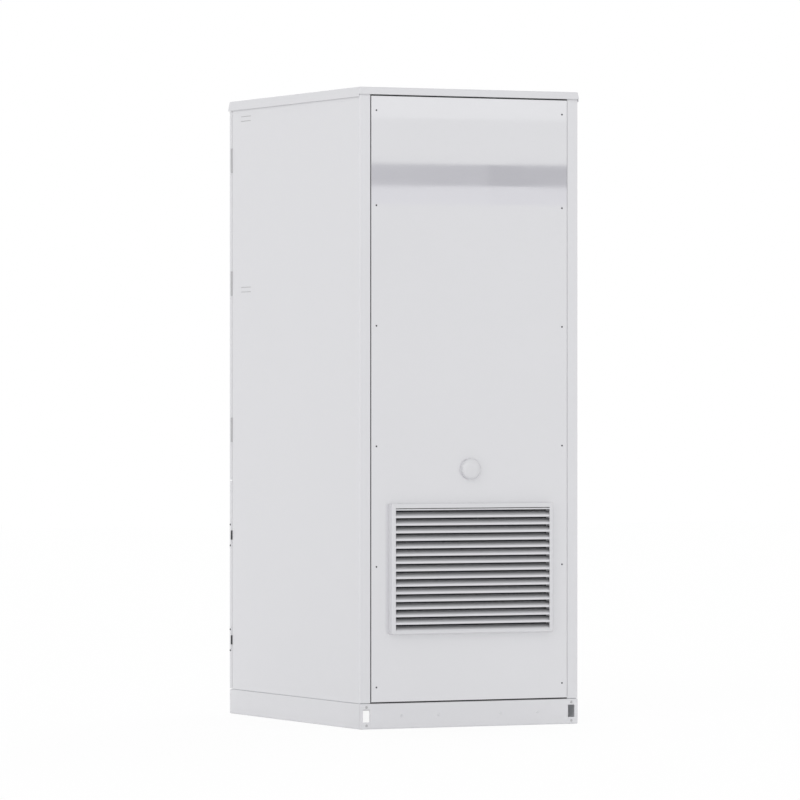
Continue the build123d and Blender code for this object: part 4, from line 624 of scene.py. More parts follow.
def add_turned(bm, place, axis, profile, steps=36, notch=None):
    """A turned form along an axis. A notch gives the lowest height at an angle."""
    turn = Vector(UP).rotation_difference(Vector(axis)).to_matrix()
    place = Vector(place)
    rings = []
    for radius, height, *flats in profile:
        if radius == 0:
            rings.append([bm.verts.new(place + turn @ Vector((0, 0, height)))])
            continue
        ring = []
        for angle in turns(steps):
            reach = ring_radius(radius, angle, flats[0] if flats else 0)
            level = max(height, notch(angle)) if notch else height
            spot = Vector((reach * math.cos(angle), reach * math.sin(angle), level))
            ring.append(bm.verts.new(place + turn @ spot))
        rings.append(ring)
    for low, high in zip(rings, rings[1:]):
        join_rings(bm, low, high)
    return rings


def join_rings(bm, low, high):
    count = max(len(low), len(high))
    for i in range(count):
        j = (i + 1) % count
        corners = [low[i % len(low)], low[j % len(low)], high[j % len(high)], high[i % len(high)]]
        distinct = list(dict.fromkeys(corners))
        if len(distinct) > 2:
            bm.faces.new(distinct)


def join_closest(bm, low, high):
    """Joins two rings from the pair of vertices that lie nearest to each other."""
    first = min(range(len(high)), key=lambda k: (high[k].co - low[0].co).length)
    join_rings(bm, low, high[first:] + high[:first])


def add_box(bm, low, high, bevel, segments=2):
    """A box with eased edges."""
    low, size = Vector(low), Vector(high) - Vector(low)
    made = bmesh.ops.create_cube(bm, size=1.0)["verts"]
    for vertex in made:
        vertex.co = Vector([low[i] + (vertex.co[i] + 0.5) * size[i] for i in range(3)])
    edges = {edge for vertex in made for edge in vertex.link_edges}
    shape = {"segments": segments, "profile": 0.5, "affect": "EDGES"}
    bmesh.ops.bevel(bm, geom=list(edges), offset=bevel, **shape)


def add_tube(bm, points, radius, sides, closed=False):
    """A round bar along a list of points."""
    points = [Vector(p) for p in points]
    count = len(points)
    rings = []
    normal = None
    for i, here in enumerate(points):
        ahead = points[(i + 1) % count] if closed or i + 1 < count else here
        behind = points[i - 1] if closed or i > 0 else here
        along = (ahead - behind).normalized()
        if normal is None:
            normal = along.orthogonal().normalized()
        normal = (normal - along * normal.dot(along)).normalized()
        side = along.cross(normal)
        ring = []
        for angle in turns(sides):
            across = math.cos(angle) * normal + math.sin(angle) * side
            ring.append(bm.verts.new(here + radius * across))
        rings.append(ring)
    for low, high in zip(rings, rings[1:]):
        join_rings(bm, low, high)
    if closed:
        join_closest(bm, rings[-1], rings[0])
    else:
        bm.faces.new(rings[0])
        bm.faces.new(rings[-1])


def add_frame(bm, low, high, profile):
    """A rectangular moulding in the XZ plane. Profile entries are (inset, y)."""
    loops = []
    for inset, y in profile:
        left, right = ends(low.x, high.x, inset)
        bottom, top = ends(low.z, high.z, inset)
        corners = ((left, bottom), (right, bottom), (right, top), (left, top))
        loops.append([bm.verts.new((x, y, z)) for x, z in corners])
    for near, far in zip(loops, loops[1:] + loops[:1]):
        join_rings(bm, near, far)


def add_socket_screw(bm, place, axis, radius, height):
    """A button head with a hexagon socket."""
    add_turned(bm, place, axis, scaled(BUTTON_HEAD, radius, height), SMALL_STEPS)


def add_hex_bolt(bm, place, axis, radius, height):
    """A hexagon head on a washer."""
    add_turned(bm, place, axis, scaled(HEX_HEAD, radius, height), SMALL_STEPS)


# Pieces: rear

CORNER_SCREW_REACH = 0.4


def make_rear_screw_heads():
    bm = bmesh.new()
    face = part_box("rear_panel")[1].y
    for low, high in islands("rear_panel_screws"):
        place = middle((low, high))
        place.y = face
        add_socket_screw(bm, place, REAR, (high.x - low.x) / 2, high.y - face)
    heads = piece("rear_screw_heads", bm, "screw_dark")
    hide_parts("rear_panel_screws")


def make_plinth_screw_heads():
    """Plain screws beside the corner windows and painted ones along the rails between them."""
    corner, between = bmesh.new(), bmesh.new()
    for low, high in islands("plinth_screws"):
        place = middle((low, high))
        outward = REAR if place.y > 0 else FRONT
        place.y = low.y if place.y > 0 else high.y
        bm = corner if abs(place.x) > CORNER_SCREW_REACH else between
        add_socket_screw(bm, place, outward, (high.x - low.x) / 2, high.y - low.y)
    heads = piece("plinth_screw_heads", corner, "screw_plain")
    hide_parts("plinth_screws")
    piece("plinth_screw_heads_painted", between, "plinth")


GROOVE_DEPTH = 0.8 * MM
GROOVE_SLACK = 0.1 * MM
GROOVE_SPACE = 1.6 * MM
GROOVE_MARGIN = 0.3 * MM
GROOVE_END = 2.0 * MM
# A thin grey strip of painted shade lies on each groove floor
SHADE_STRIP_THICKNESS = 0.4 * MM
SHADE_STRIP_BEVEL = 0.1 * MM


def groove_boxes(node):
    """The lowest and highest corner of the floor of each groove in a side panel."""
    low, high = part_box(node)
    outer = max(abs(low.x), abs(high.x))
    points = [v.co for v in frame["nodes"][node].data.vertices]
    points = [p for p in points if abs(outer - abs(p.x) - GROOVE_DEPTH) < GROOVE_SLACK]
    points.sort(key=lambda p: p.z)
    groups = []
    for point in points:
        if not groups or point.z - groups[-1][-1].z > GROOVE_SPACE:
            groups.append([])
        groups[-1].append(point)
    return [corners_of(group) for group in groups]


def make_groove_shade_strips():
    """A thin grey strip of painted shade on the floor of each groove of the side panels."""
    bm = bmesh.new()
    inset = Vector((0, GROOVE_END, GROOVE_MARGIN))
    for node in ("side_panel_left", "side_panel_right"):
        for low, high in groove_boxes(node):
            floor = low.x
            top = floor + math.copysign(SHADE_STRIP_THICKNESS, floor)
            near = Vector((min(floor, top), low.y, low.z)) + inset
            far = Vector((max(floor, top), high.y, high.z)) - inset
            add_box(bm, near, far, SHADE_STRIP_BEVEL, segments=1)
    piece("side_groove_shade_strips", bm, "groove")


VENT_STEPS = 96
VENT_DOME_REACH = 24.0 * MM
VENT_DOME_RISE = 14.0 * MM
VENT_DOME_STEPS = 12
VENT_WALL = 2.5 * MM
VENT_ROOF = 3.5 * MM
VENT_FLAT_SHARE = 0.6
VENT_SLOT_RISE = 5.0 * MM
VENT_SLOT_MIDDLE = math.radians(270)
VENT_SLOT_STEP = math.radians(30)
VENT_SLOT_HALF = math.radians(7)


def vent_notch(angle):
    """Height of the vent's rim at an angle: raised at the three air slots of its lower half."""
    for i in (-1, 0, 1):
        if abs(angle - (VENT_SLOT_MIDDLE + i * VENT_SLOT_STEP)) < VENT_SLOT_HALF:
            return VENT_SLOT_RISE
    return 0.0


def make_vent_cap():
    """The round hood, whose rim turns softly into its flat face."""
    low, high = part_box("vent_cap")
    centre = middle((low, high))
    radius = (high.x - low.x) / 2
    depth = high.y - low.y
    rim = depth - VENT_DOME_RISE
    outside = [(radius, 0.0), (radius, rim)]
    for angle in spread(0, math.pi / 2, VENT_DOME_STEPS + 1)[1:]:
        out = radius - VENT_DOME_REACH * (1 - math.cos(angle))
        outside.append((out, depth - VENT_DOME_RISE * (1 - math.sin(angle))))
    outside.append((0, depth))
    inner = radius - VENT_WALL
    ceiling = depth - VENT_ROOF
    inside = [(inner, 0.0), (inner, rim), (inner * VENT_FLAT_SHARE, ceiling), (0, ceiling)]
    bm = bmesh.new()
    place = (centre.x, low.y, centre.z)
    outer_rings = add_turned(bm, place, REAR, outside, VENT_STEPS, vent_notch)
    inner_rings = add_turned(bm, place, REAR, inside, VENT_STEPS, vent_notch)
    join_rings(bm, outer_rings[0], inner_rings[0])
    cap = piece("vent_cap_hood", bm, "vent", smooth=ROUND_DEGREES)
    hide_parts("vent_cap")


PLEAT_PITCH = 7.0 * MM
PLEAT_DEPTH = 4.0 * MM
PLEAT_MARGIN = 10.5 * MM
PLEAT_SETBACK = 0.5 * MM


def make_filter_media():
    """Pleated dark medium in the filter cassette, behind its bars."""
    low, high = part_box("louvre_filter")
    left, right = ends(low.x, high.x, PLEAT_MARGIN)
    bottom, top = ends(low.z, high.z, PLEAT_MARGIN)
    count = int((right - left) / PLEAT_PITCH) * 2
    near = high.y - PLEAT_SETBACK
    bm = bmesh.new()
    columns = []
    for i, x in enumerate(spread(left, right, count + 1)):
        y = near - (i % 2) * PLEAT_DEPTH
        columns.append([bm.verts.new((x, y, z)) for z in (bottom, top)])
    for (a, b), (c, d) in zip(columns, columns[1:]):
        bm.faces.new((a, c, d, b))
    piece("filter_media", bm, "filter", smooth=PLEAT_DEGREES)


HOOD_LINTEL = 17.0 * MM
HOOD_JAMB = 15.0 * MM
DRIP_HEIGHT = 2.6 * MM
DRIP_DEPTH = 1.6 * MM
DRIP_SETBACK = 0.2 * MM
DRIP_BEVEL = 0.3 * MM


def make_drip_edge():
    """The black rubber drip edge under the top bar of the louvre hood."""
    low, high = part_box("louvre_hood")
    left, right = ends(low.x, high.x, HOOD_JAMB)
    lintel = high.z - HOOD_LINTEL
    front = high.y - DRIP_SETBACK
    near = (left, front - DRIP_DEPTH, lintel - DRIP_HEIGHT)
    bm = bmesh.new()
    add_box(bm, near, (right, front, lintel), DRIP_BEVEL)
    piece("louvre_drip_edge", bm, "seal")


# Pieces: doors

ROSE_HOLE = 15.2 * MM
ROSE_RADIUS = 26.0 * MM
ROSE_HEIGHT = 3.0 * MM
ROSE_CHAMFER = 2.0 * MM
LOCK_RISE = 60.0 * MM
LOCK_RADIUS = 11.0 * MM
LOCK_ROSE_WIDTH = 6.0 * MM
LOCK_GAP = 0.2 * MM
LOCK_CHAMFER = 1.0 * MM
LOCK_HEIGHT = 6.0 * MM
KEY_SLOT = 5.0 * MM
LOCK_STEPS = 32


def joint_place(name):
    joints = frame["record"]["behaviour"]["joints"]
    return next(Vector(joint["pos_m"]) for joint in joints if joint["name"] == name)


def rose_profile(hole, radius):
    """A flat ring with a chamfered outer edge."""
    return [
        (hole, 0.0),
        (hole, ROSE_HEIGHT),
        (radius - ROSE_CHAMFER, ROSE_HEIGHT),
        (radius, ROSE_HEIGHT - ROSE_CHAMFER),
        (radius, 0.0),
    ]


def make_handle_roses(level):
    """The round rose behind a lever, and the lock above it with its rose."""
    door = level + "_door"
    body = door + "_leaf"
    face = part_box(door)[0].y
    hub = joint_place(level + "_handle_turn")
    lever = (hub.x, face, hub.z)
    lock = (hub.x, face, hub.z + LOCK_RISE)
    lock_rose = rose_profile(LOCK_RADIUS, LOCK_RADIUS + LOCK_ROSE_WIDTH)
    barrel = LOCK_RADIUS - LOCK_GAP
    cylinder = (
        (barrel, 0.0),
        (barrel, LOCK_HEIGHT - LOCK_CHAMFER),
        (barrel - LOCK_CHAMFER, LOCK_HEIGHT),
        (KEY_SLOT, LOCK_HEIGHT, 4),
        (KEY_SLOT, ROSE_HEIGHT, 4),
        (0, ROSE_HEIGHT),
    )
    bm = bmesh.new()
    add_turned(bm, lever, FRONT, rose_profile(ROSE_HOLE, ROSE_RADIUS), MEDIUM_STEPS)
    add_turned(bm, lock, FRONT, lock_rose)
    piece(door + "_handle_roses", bm, "handle", body)
    bm = bmesh.new()
    add_turned(bm, lock, FRONT, cylinder, LOCK_STEPS)
    piece(door + "_lock_cylinder", bm, "screw_plain", body)


SEAL_WIDTH = 14.0 * MM
SEAL_FOOT = 2.5 * MM
BULB_INSET = 2.5 * MM
BULB_DROP = 2.0 * MM
BULB_SHOULDER = 4.0 * MM
BULB_EASE = 0.5 * MM


def make_bulb_seal(level):
    """A door seal with a flat foot and a soft bulb."""
    node = level + "_door_seal"
    low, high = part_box(node)
    foot = low.y + SEAL_FOOT
    half = [
        (0.0, low.y),
        (0.0, foot),
        (BULB_INSET, foot),
        (BULB_INSET, high.y - BULB_DROP),
        (BULB_SHOULDER, high.y - BULB_EASE),
    ]
    other_half = [(SEAL_WIDTH - inset, y) for inset, y in reversed(half)]
    bm = bmesh.new()
    add_frame(bm, low, high, half + [(SEAL_WIDTH / 2, high.y)] + other_half)
    seal = piece(node + "_bulb", bm, "seal", level + "_door_leaf", smooth=ROUND_DEGREES)
    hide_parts(node)


STRAP_LEAST_HEIGHT = 50.0 * MM
STRAP_BEVEL = 0.4 * MM


def make_hinge_straps():
    """Plates with eased edges and hexagon-socket screws on the edge of the lower door."""
    plates, screws = bmesh.new(), bmesh.new()
    for low, high in islands("lower_hinge_straps"):
        if high.z - low.z > STRAP_LEAST_HEIGHT:
            add_box(plates, low, high, STRAP_BEVEL)
            continue
        place = middle((low, high))
        place.x = low.x
        add_socket_screw(screws, place, RIGHT, (high.z - low.z) / 2, high.x - low.x)
    plate_piece = piece("hinge_strap_plates", plates, "strap", "lower_door_leaf")
    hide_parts("lower_hinge_straps")
    piece("hinge_strap_screws", screws, "screw_dark", "lower_door_leaf")


# Pieces: battery rack

ARC_STEPS = 5

PULL_LEAST_WIDTH = 60.0 * MM
PULL_BAR = 5.0 * MM
PULL_BEND = 14.0 * MM
PULL_FOOT_MM = ((9, 0), (9, 2), (7, 4), (5, 4))
PULL_FOOT_STEPS = 28

SOCKET_LEAST_WIDTH = 25.0 * MM
SOCKET_FLANGE = 4.0 * MM
SOCKET_INSET = 4.0 * MM
FLANGE_BEVEL = 1.5 * MM
HOUSING_BEVEL = 2.5 * MM
RIB_PITCH = 4.5 * MM
RIB_HALF = 1.0 * MM
RIB_SETBACK = 4.0 * MM
RIB_INSET = 3.0 * MM
RIB_BEVEL = 0.3 * MM
LATCH_HALF = 7.0 * MM
LATCH_SETBACK = 3.0 * MM
LATCH_DROP = 2.0 * MM
LATCH_HEIGHT = 3.0 * MM
LATCH_BEVEL = 1.0 * MM

PORT_STEPS = 30
PORT_MM = (
    (9, 0, 6), (9, 9, 6), (6.5, 10), (6.5, 14), (8.4, 15), (8.4, 25), (7.2, 26.5), (7.2, 30),
    (0, 30),
)


def arc(centre, start, end):
    """Points on a quarter turn from one point to another round a centre."""
    centre = Vector(centre)
    first, last = Vector(start) - centre, Vector(end) - centre
    angles = spread(0, math.pi / 2, ARC_STEPS + 1)
    return [centre + first * math.cos(a) + last * math.sin(a) for a in angles]


def add_pull(bm, low, high):
    """A bent round-bar pull on two feet."""
    z = (low.z + high.z) / 2
    out = low.y + PULL_BAR
    bend = out + PULL_BEND
    left, right = ends(low.x, high.x, PULL_BAR)
    inner_left, inner_right = ends(left, right, PULL_BEND)
    points = [(left, high.y, z)]
    points += arc((inner_left, bend, z), (left, bend, z), (inner_left, out, z))
    points += arc((inner_right, bend, z), (inner_right, out, z), (right, bend, z))
    points.append((right, high.y, z))
    add_tube(bm, points, PULL_BAR, BAR_SIDES)
    for x in (left, right):
        add_turned(bm, (x, high.y, z), FRONT, in_mm(PULL_FOOT_MM), PULL_FOOT_STEPS)


def add_socket(bm, low, high):
    """A capped power socket: flange, ribbed housing and a latch on top."""
    flange = high.y - SOCKET_FLANGE
    add_box(bm, (low.x, flange, low.z), high, FLANGE_BEVEL)
    left, right = ends(low.x, high.x, SOCKET_INSET)
    bottom, top = ends(low.z, high.z, SOCKET_INSET)
    add_box(bm, (left, low.y, bottom), (right, flange, top), HOUSING_BEVEL, segments=3)
    centre = (low.x + high.x) / 2
    bottom, top = ends(low.z, high.z, RIB_INSET)
    for i in (-2, -1, 0, 1, 2):
        x = centre + i * RIB_PITCH
        near = (x - RIB_HALF, low.y + RIB_SETBACK, bottom)
        add_box(bm, near, (x + RIB_HALF, flange, top), RIB_BEVEL)
    top = high.z - LATCH_DROP
    near = (centre - LATCH_HALF, low.y + LATCH_SETBACK, top - LATCH_HEIGHT)
    add_box(bm, near, (centre + LATCH_HALF, flange, top), LATCH_BEVEL)


def add_port(bm, low, high):
    """A coolant coupling on a hexagon nipple."""
    place = middle((low, high))
    place.y = high.y
    add_turned(bm, place, FRONT, in_mm(PORT_MM), PORT_STEPS)


def make_pack_fittings():
    pulls, sockets, ports = bmesh.new(), bmesh.new(), bmesh.new()
    for low, high in islands("pack_fittings"):
        width = high.x - low.x
        if width > PULL_LEAST_WIDTH:
            add_pull(pulls, low, high)
        elif width > SOCKET_LEAST_WIDTH:
            add_socket(sockets, low, high)
        else:
            add_port(ports, low, high)
    first = piece("pack_sockets", sockets, "fitting")
    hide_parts("pack_fittings")
    piece("pack_pulls", pulls, "handle")
    piece("pack_ports", ports, "pipe")


PACKS = ["battery_pack_%d" % (i + 1) for i in range(5)]
BOLT_EDGE = 11.0 * MM
BOLTS_ALONG = 9
BOLT_SHARES = (0.33, 0.67)
PACK_BOLT = (5.0 * MM, 4.0 * MM)
COVER_HALF_WIDTH = 42.0 * MM
COVER_HALF_HEIGHT = 46.0 * MM
COVER_DEPTH = 3.0 * MM
COVER_BEVEL = 1.5 * MM
COVER_SCREW_INSET = 7.0 * MM
COVER_SCREW = (3.2 * MM, 1.8 * MM)
PACK_LAMP_RISE = 66.0 * MM
PACK_LAMP_MM = ((4, 0), (4, 1), (2.8, 2.2), (0, 2.6))
PACK_LAMP_STEPS = 20


def add_plate_bolts(bm, low, high):
    """Bolts along the top, the bottom and both sides of a front plate."""
    left, right = ends(low.x, high.x, BOLT_EDGE)
    places = []
    for x in spread(left, right, BOLTS_ALONG):
        places += [(x, z) for z in ends(low.z, high.z, BOLT_EDGE)]
    for x in (left, right):
        places += [(x, low.z + (high.z - low.z) * share) for share in BOLT_SHARES]
    for x, z in places:
        add_hex_bolt(bm, (x, low.y, z), FRONT, *PACK_BOLT)


def make_pack_fronts():
    """Bolts round each front plate, a service cover and its screws, and a status lamp."""
    bolts, covers, screws, lamps = [bmesh.new() for _ in range(4)]
    for node in PACKS:
        low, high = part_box(node)
        add_plate_bolts(bolts, low, high)
        z = (low.z + high.z) / 2
        face = low.y
        front = face - COVER_DEPTH
        near = Vector((-COVER_HALF_WIDTH, front, z - COVER_HALF_HEIGHT))
        far = Vector((COVER_HALF_WIDTH, face, z + COVER_HALF_HEIGHT))
        add_box(covers, near, far, COVER_BEVEL)
        for x in ends(near.x, far.x, COVER_SCREW_INSET):
            for screw_z in ends(near.z, far.z, COVER_SCREW_INSET):
                add_socket_screw(screws, (x, front, screw_z), FRONT, *COVER_SCREW)
        lamp = (0, face, z + PACK_LAMP_RISE)
        add_turned(lamps, lamp, FRONT, in_mm(PACK_LAMP_MM), PACK_LAMP_STEPS)
    piece("pack_front_bolts", bolts, "screw_plain")
    piece("pack_service_covers", covers, "control")
    piece("pack_cover_screws", screws, "screw_dark")
    piece("pack_status_lamps", lamps, "detector")


RUNNER_WALL = 3.0 * MM
RUNNER_BOLT_INSET = 20.0 * MM
RUNNER_BOLT_RISES = (14.0 * MM, 30.0 * MM)
RUNNER_BOLT = (5.0 * MM, 4.5 * MM)


def make_rack_bolts():
    """Two bolts at each end of every runner."""
    bm = bmesh.new()
    for low, high in islands("rack_runners"):
        wall, inward = low.x + RUNNER_WALL, RIGHT
        if low.x > 0:
            wall, inward = high.x - RUNNER_WALL, LEFT
        for y in ends(low.y, high.y, RUNNER_BOLT_INSET):
            for rise in RUNNER_BOLT_RISES:
                add_hex_bolt(bm, (wall, y, low.z + rise), inward, *RUNNER_BOLT)
    piece("rack_bolts", bm, "screw_plain")


CONTROL_SOCKETS = 4
CONTROL_FIRST_X = -330.0 * MM
CONTROL_PITCH = 62.0 * MM
CONTROL_SOCKET_MM = (
    (17, 0), (17, 4), (14, 4), (14, 12), (16, 13, 12), (16, 24, 12), (14, 26), (0, 26),
)
SOCKET_SCREW_REACH = 19.0 * MM
SOCKET_SCREW = (2.6 * MM, 1.8 * MM)
CONTROL_LAMPS_X = (-40.0 * MM, 0, 40.0 * MM)
CONTROL_LAMP_MM = ((7, 0), (7, 2), (5.5, 3), (4, 6), (0, 7))
CORNER_SCREW_INSET = 12.0 * MM
FACE_SCREW = (4.0 * MM, 2.2 * MM)


def make_control_face():
    """Capped round sockets, indicator lamps and corner screws on the control box."""
    low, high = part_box("control_box")
    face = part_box("battery_pack_5")[0].y
    z = (low.z + high.z) / 2
    shells, lamps, screws = bmesh.new(), bmesh.new(), bmesh.new()
    for i in range(CONTROL_SOCKETS):
        x = CONTROL_FIRST_X + i * CONTROL_PITCH
        add_turned(shells, (x, face, z), FRONT, in_mm(CONTROL_SOCKET_MM))
        for dx in (-SOCKET_SCREW_REACH, SOCKET_SCREW_REACH):
            for dz in (-SOCKET_SCREW_REACH, SOCKET_SCREW_REACH):
                add_socket_screw(screws, (x + dx, face, z + dz), FRONT, *SOCKET_SCREW)
    for x in CONTROL_LAMPS_X:
        add_turned(lamps, (x, face, z), FRONT, in_mm(CONTROL_LAMP_MM), SMALL_STEPS)
    for x in ends(low.x, high.x, CORNER_SCREW_INSET):
        for corner_z in ends(low.z, high.z, CORNER_SCREW_INSET):
            add_socket_screw(screws, (x, face, corner_z), FRONT, *FACE_SCREW)
    piece("control_sockets", shells, "fitting")
    piece("control_lamps", lamps, "detector")
    piece("control_screws", screws, "screw_dark")


# Pieces: cooling unit and inverter

GUARD_MARGIN = 8.0 * MM
GUARD_STANDOFF = 1.5 * MM
GUARD_RINGS = 9
GUARD_INNER = 30.0 * MM
GUARD_WIRE = 1.3 * MM
SPOKES = 6
SPOKE_TURN = 0.2
SPOKE_STANDOFF = 3.5 * MM
SPOKE_WIRE = 1.5 * MM
WIRE_SIDES = 6


def make_fan_guard():
    """Wire rings and spokes across the mouth of the fan duct."""
    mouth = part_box("fan_shroud")[1].y
    low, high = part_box("fan_rotor")
    radius = (high.x - low.x) / 2 + GUARD_MARGIN
    hub = middle((low, high))
    hub.y = mouth + GUARD_STANDOFF
    bm = bmesh.new()
    for reach in spread(GUARD_INNER, radius, GUARD_RINGS):
        circle = [hub + reach * around(angle) for angle in turns(LARGE_STEPS)]
        add_tube(bm, circle, GUARD_WIRE, WIRE_SIDES, closed=True)
    hub.y = mouth + SPOKE_STANDOFF
    for angle in turns(SPOKES):
        out = around(angle + SPOKE_TURN)
        add_tube(bm, [hub + out * GUARD_INNER, hub + out * radius], SPOKE_WIRE, WIRE_SIDES)
    piece("fan_guard", bm, "screw_plain")


PAD_INSET = 12.0 * MM
PAD_MM = ((0, 0), (12, 0), (12, 2), (9, 3), (12, 4), (12, 6), (0, 6))
PLATE_BOTTOM = 6.0 * MM
PLATE_TOP = 10.0 * MM
PLATE_BEVEL = 1.2 * MM
FOOT_SHARE = 0.8
WALL_SHARE = 0.97
SHELL_SHOULDER = 16.0 * MM
SEAM_SHARE = 0.62
SEAM_SLOPE = 1.0 * MM
SEAM_HEIGHT = 8.0 * MM
DOME_RISE = 62.0 * MM
DOME_STEPS = 8
TERMINAL_SIZE = (56.0 * MM, 18.0 * MM, 60.0 * MM)
TERMINAL_SHARE = 0.35
TERMINAL_BEVEL = 4.0 * MM


def make_compressor_shell():
    """The domed compressor with its weld seam, terminal cover and pads."""
    low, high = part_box("compressor")
    centre = middle((low, high))
    radius = (high.x - low.x) / 2
    height = high.z - low.z
    wall = radius * WALL_SHARE
    seam = height * SEAM_SHARE
    profile = [
        (0, PLATE_BOTTOM),
        (radius * FOOT_SHARE, PLATE_BOTTOM),
        (wall, SHELL_SHOULDER),
        (wall, seam),
        (radius, seam + SEAM_SLOPE),
        (radius, seam + SEAM_HEIGHT - SEAM_SLOPE),
        (wall, seam + SEAM_HEIGHT),
    ]
    for angle in spread(0, math.pi / 2, DOME_STEPS + 1)[:-1]:
        rise = height - DOME_RISE + DOME_RISE * math.sin(angle)
        profile.append((wall * math.cos(angle), rise))
    profile.append((0, height))
    bm = bmesh.new()
    add_turned(bm, (centre.x, centre.y, low.z), UP, profile, LARGE_STEPS)
    near = (low.x, low.y, low.z + PLATE_BOTTOM)
    add_box(bm, near, (high.x, high.y, low.z + PLATE_TOP), PLATE_BEVEL)
    size = Vector(TERMINAL_SIZE)
    cover = Vector((centre.x - size.x / 2, low.y, low.z + height * TERMINAL_SHARE))
    add_box(bm, cover, cover + size, TERMINAL_BEVEL, segments=3)
    shell = piece("compressor_shell", bm, "motor")
    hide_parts("compressor")
    pads = bmesh.new()
    for x in ends(low.x, high.x, PAD_INSET):
        for y in ends(low.y, high.y, PAD_INSET):
            add_turned(pads, (x, y, low.z), UP, in_mm(PAD_MM), SMALL_STEPS)
    piece("compressor_pads", pads, "seal")


PIPE_RADIUS = 6.0 * MM
PIPE_BEND = 22.0 * MM
PIPE_ROUTES = ((-26.0 * MM, 150.0 * MM), (26.0 * MM, 250.0 * MM))
PIPE_INTO_SHELL = 12.0 * MM
PIPE_INTO_COIL = 2.0 * MM


def make_refrigerant_pipes():
    """Two bent pipes from the compressor to the coil."""
    low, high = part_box("compressor")
    centre = middle((low, high))
    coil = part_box("condenser_coil")[0]
    bm = bmesh.new()
    for shift, rise in PIPE_ROUTES:
        x, y = centre.x + shift, centre.y
        top = high.z + rise
        turn_y, turn_z = y + PIPE_BEND, top - PIPE_BEND
        points = [(x, y, high.z - PIPE_INTO_SHELL)]
        points += arc((x, turn_y, turn_z), (x, y, turn_z), (x, turn_y, top))
        points.append((x, coil.y + PIPE_INTO_COIL, top))
        add_tube(bm, points, PIPE_RADIUS, BAR_SIDES)
    piece("refrigerant_pipes", bm, "pipe")


FRONT_DEPTH = 2.5 * MM
FRONT_LEFT = 34.0 * MM
FRONT_RISE = 150.0 * MM
FRONT_MARGIN = 14.0 * MM
FRONT_BEVEL = 1.2 * MM
FRONT_SCREW_INSET = 12.0 * MM
FRONT_SCREWS = 4
GRILLE_LEFT = 160.0 * MM
GRILLE_RIGHT = 130.0 * MM
GRILLE_RISE = 78.0 * MM
GRILLE_RINGS = 6
GRILLE_INNER = 12.0 * MM
GRILLE_PITCH = 9.0 * MM
GRILLE_HALF = 1.0 * MM
GRILLE_DEPTH = 3.0 * MM
GRILLE_BARS = 4
BAR_REACH = 58.0 * MM
BAR_RADIUS = 1.4 * MM
BAR_STANDOFF = 1.5 * MM
LAMP_BAR_SIZE = (80.0 * MM, 1.5 * MM, 6.0 * MM)
LAMP_BAR_DROP = 70.0 * MM
LAMP_BAR_BEVEL = 0.6 * MM


def add_grille(bm, centre):
    """Round slats in rings, held by bars across them."""
    for i in range(GRILLE_RINGS):
        reach = GRILLE_INNER + i * GRILLE_PITCH
        inner, outer = reach - GRILLE_HALF, reach + GRILLE_HALF
        ring = ((inner, 0.0), (inner, GRILLE_DEPTH), (outer, GRILLE_DEPTH), (outer, 0.0))
        add_turned(bm, centre, FRONT, ring, MEDIUM_STEPS)
    spot = centre + BAR_STANDOFF * Vector(FRONT)
    for i in range(GRILLE_BARS):
        reach = around(math.pi * i / GRILLE_BARS) * BAR_REACH
        add_tube(bm, [spot - reach, spot + reach], BAR_RADIUS, THIN_SIDES)


def make_inverter_front():
    """A framed front cover with two fan grilles, screws and a lamp bar."""
    low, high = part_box("inverter")
    face = low.y
    front = face - FRONT_DEPTH
    cover, grilles, screws, lamp = [bmesh.new() for _ in range(4)]
    near = Vector((low.x + FRONT_LEFT, front, low.z + FRONT_RISE))
    far = Vector((high.x - FRONT_MARGIN, face, high.z - FRONT_MARGIN))
    add_box(cover, near, far, FRONT_BEVEL)
    bottom, top = ends(near.z, far.z, FRONT_SCREW_INSET)
    for x in ends(near.x, far.x, FRONT_SCREW_INSET):
        for z in spread(bottom, top, FRONT_SCREWS):
            add_socket_screw(screws, (x, front, z), FRONT, *FACE_SCREW)
    for x in (low.x + GRILLE_LEFT, high.x - GRILLE_RIGHT):
        add_grille(grilles, Vector((x, face, low.z + GRILLE_RISE)))
    size = Vector(LAMP_BAR_SIZE)
    x = (low.x + high.x - size.x) / 2
    near = Vector((x, front - size.y, high.z - LAMP_BAR_DROP))
    add_box(lamp, near, near + size, LAMP_BAR_BEVEL)
    piece("inverter_cover", cover, "shell")
    piece("inverter_grilles", grilles, "handle")
    piece("inverter_screws", screws, "screw_dark")
    piece("inverter_lamp_bar", lamp, "detector")


# Pieces: safety and cable entry

# Radius in millimetres, height as a share of what stands above the plate
GLAND_BODY = (
    (16, 0), (29, 0, 6), (29, 0.42, 6), (25, 0.48), (24, 0.52), (24, 0.84, 12), (21, 0.96),
    (18, 1), (16, 1),
)
# Heights are counted from the top of the plate
GLAND_NUT_MM = ((20, -12), (25, -12, 6), (25, -4, 6), (20, -3), (20, 0))
GLAND_BORE = 16.0 * MM
GLAND_TAIL = 20.0 * MM
INSERT_MM = ((16, 0), (14.5, 1), (14.5, 5), (16, 6))
INSERT_DROP = 7.0 * MM
GLAND_BOLT_SIDE = 7.0 * MM
GLAND_BOLT_EDGE = 6.0 * MM
GLAND_BOLT = (4.5 * MM, 3.5 * MM)


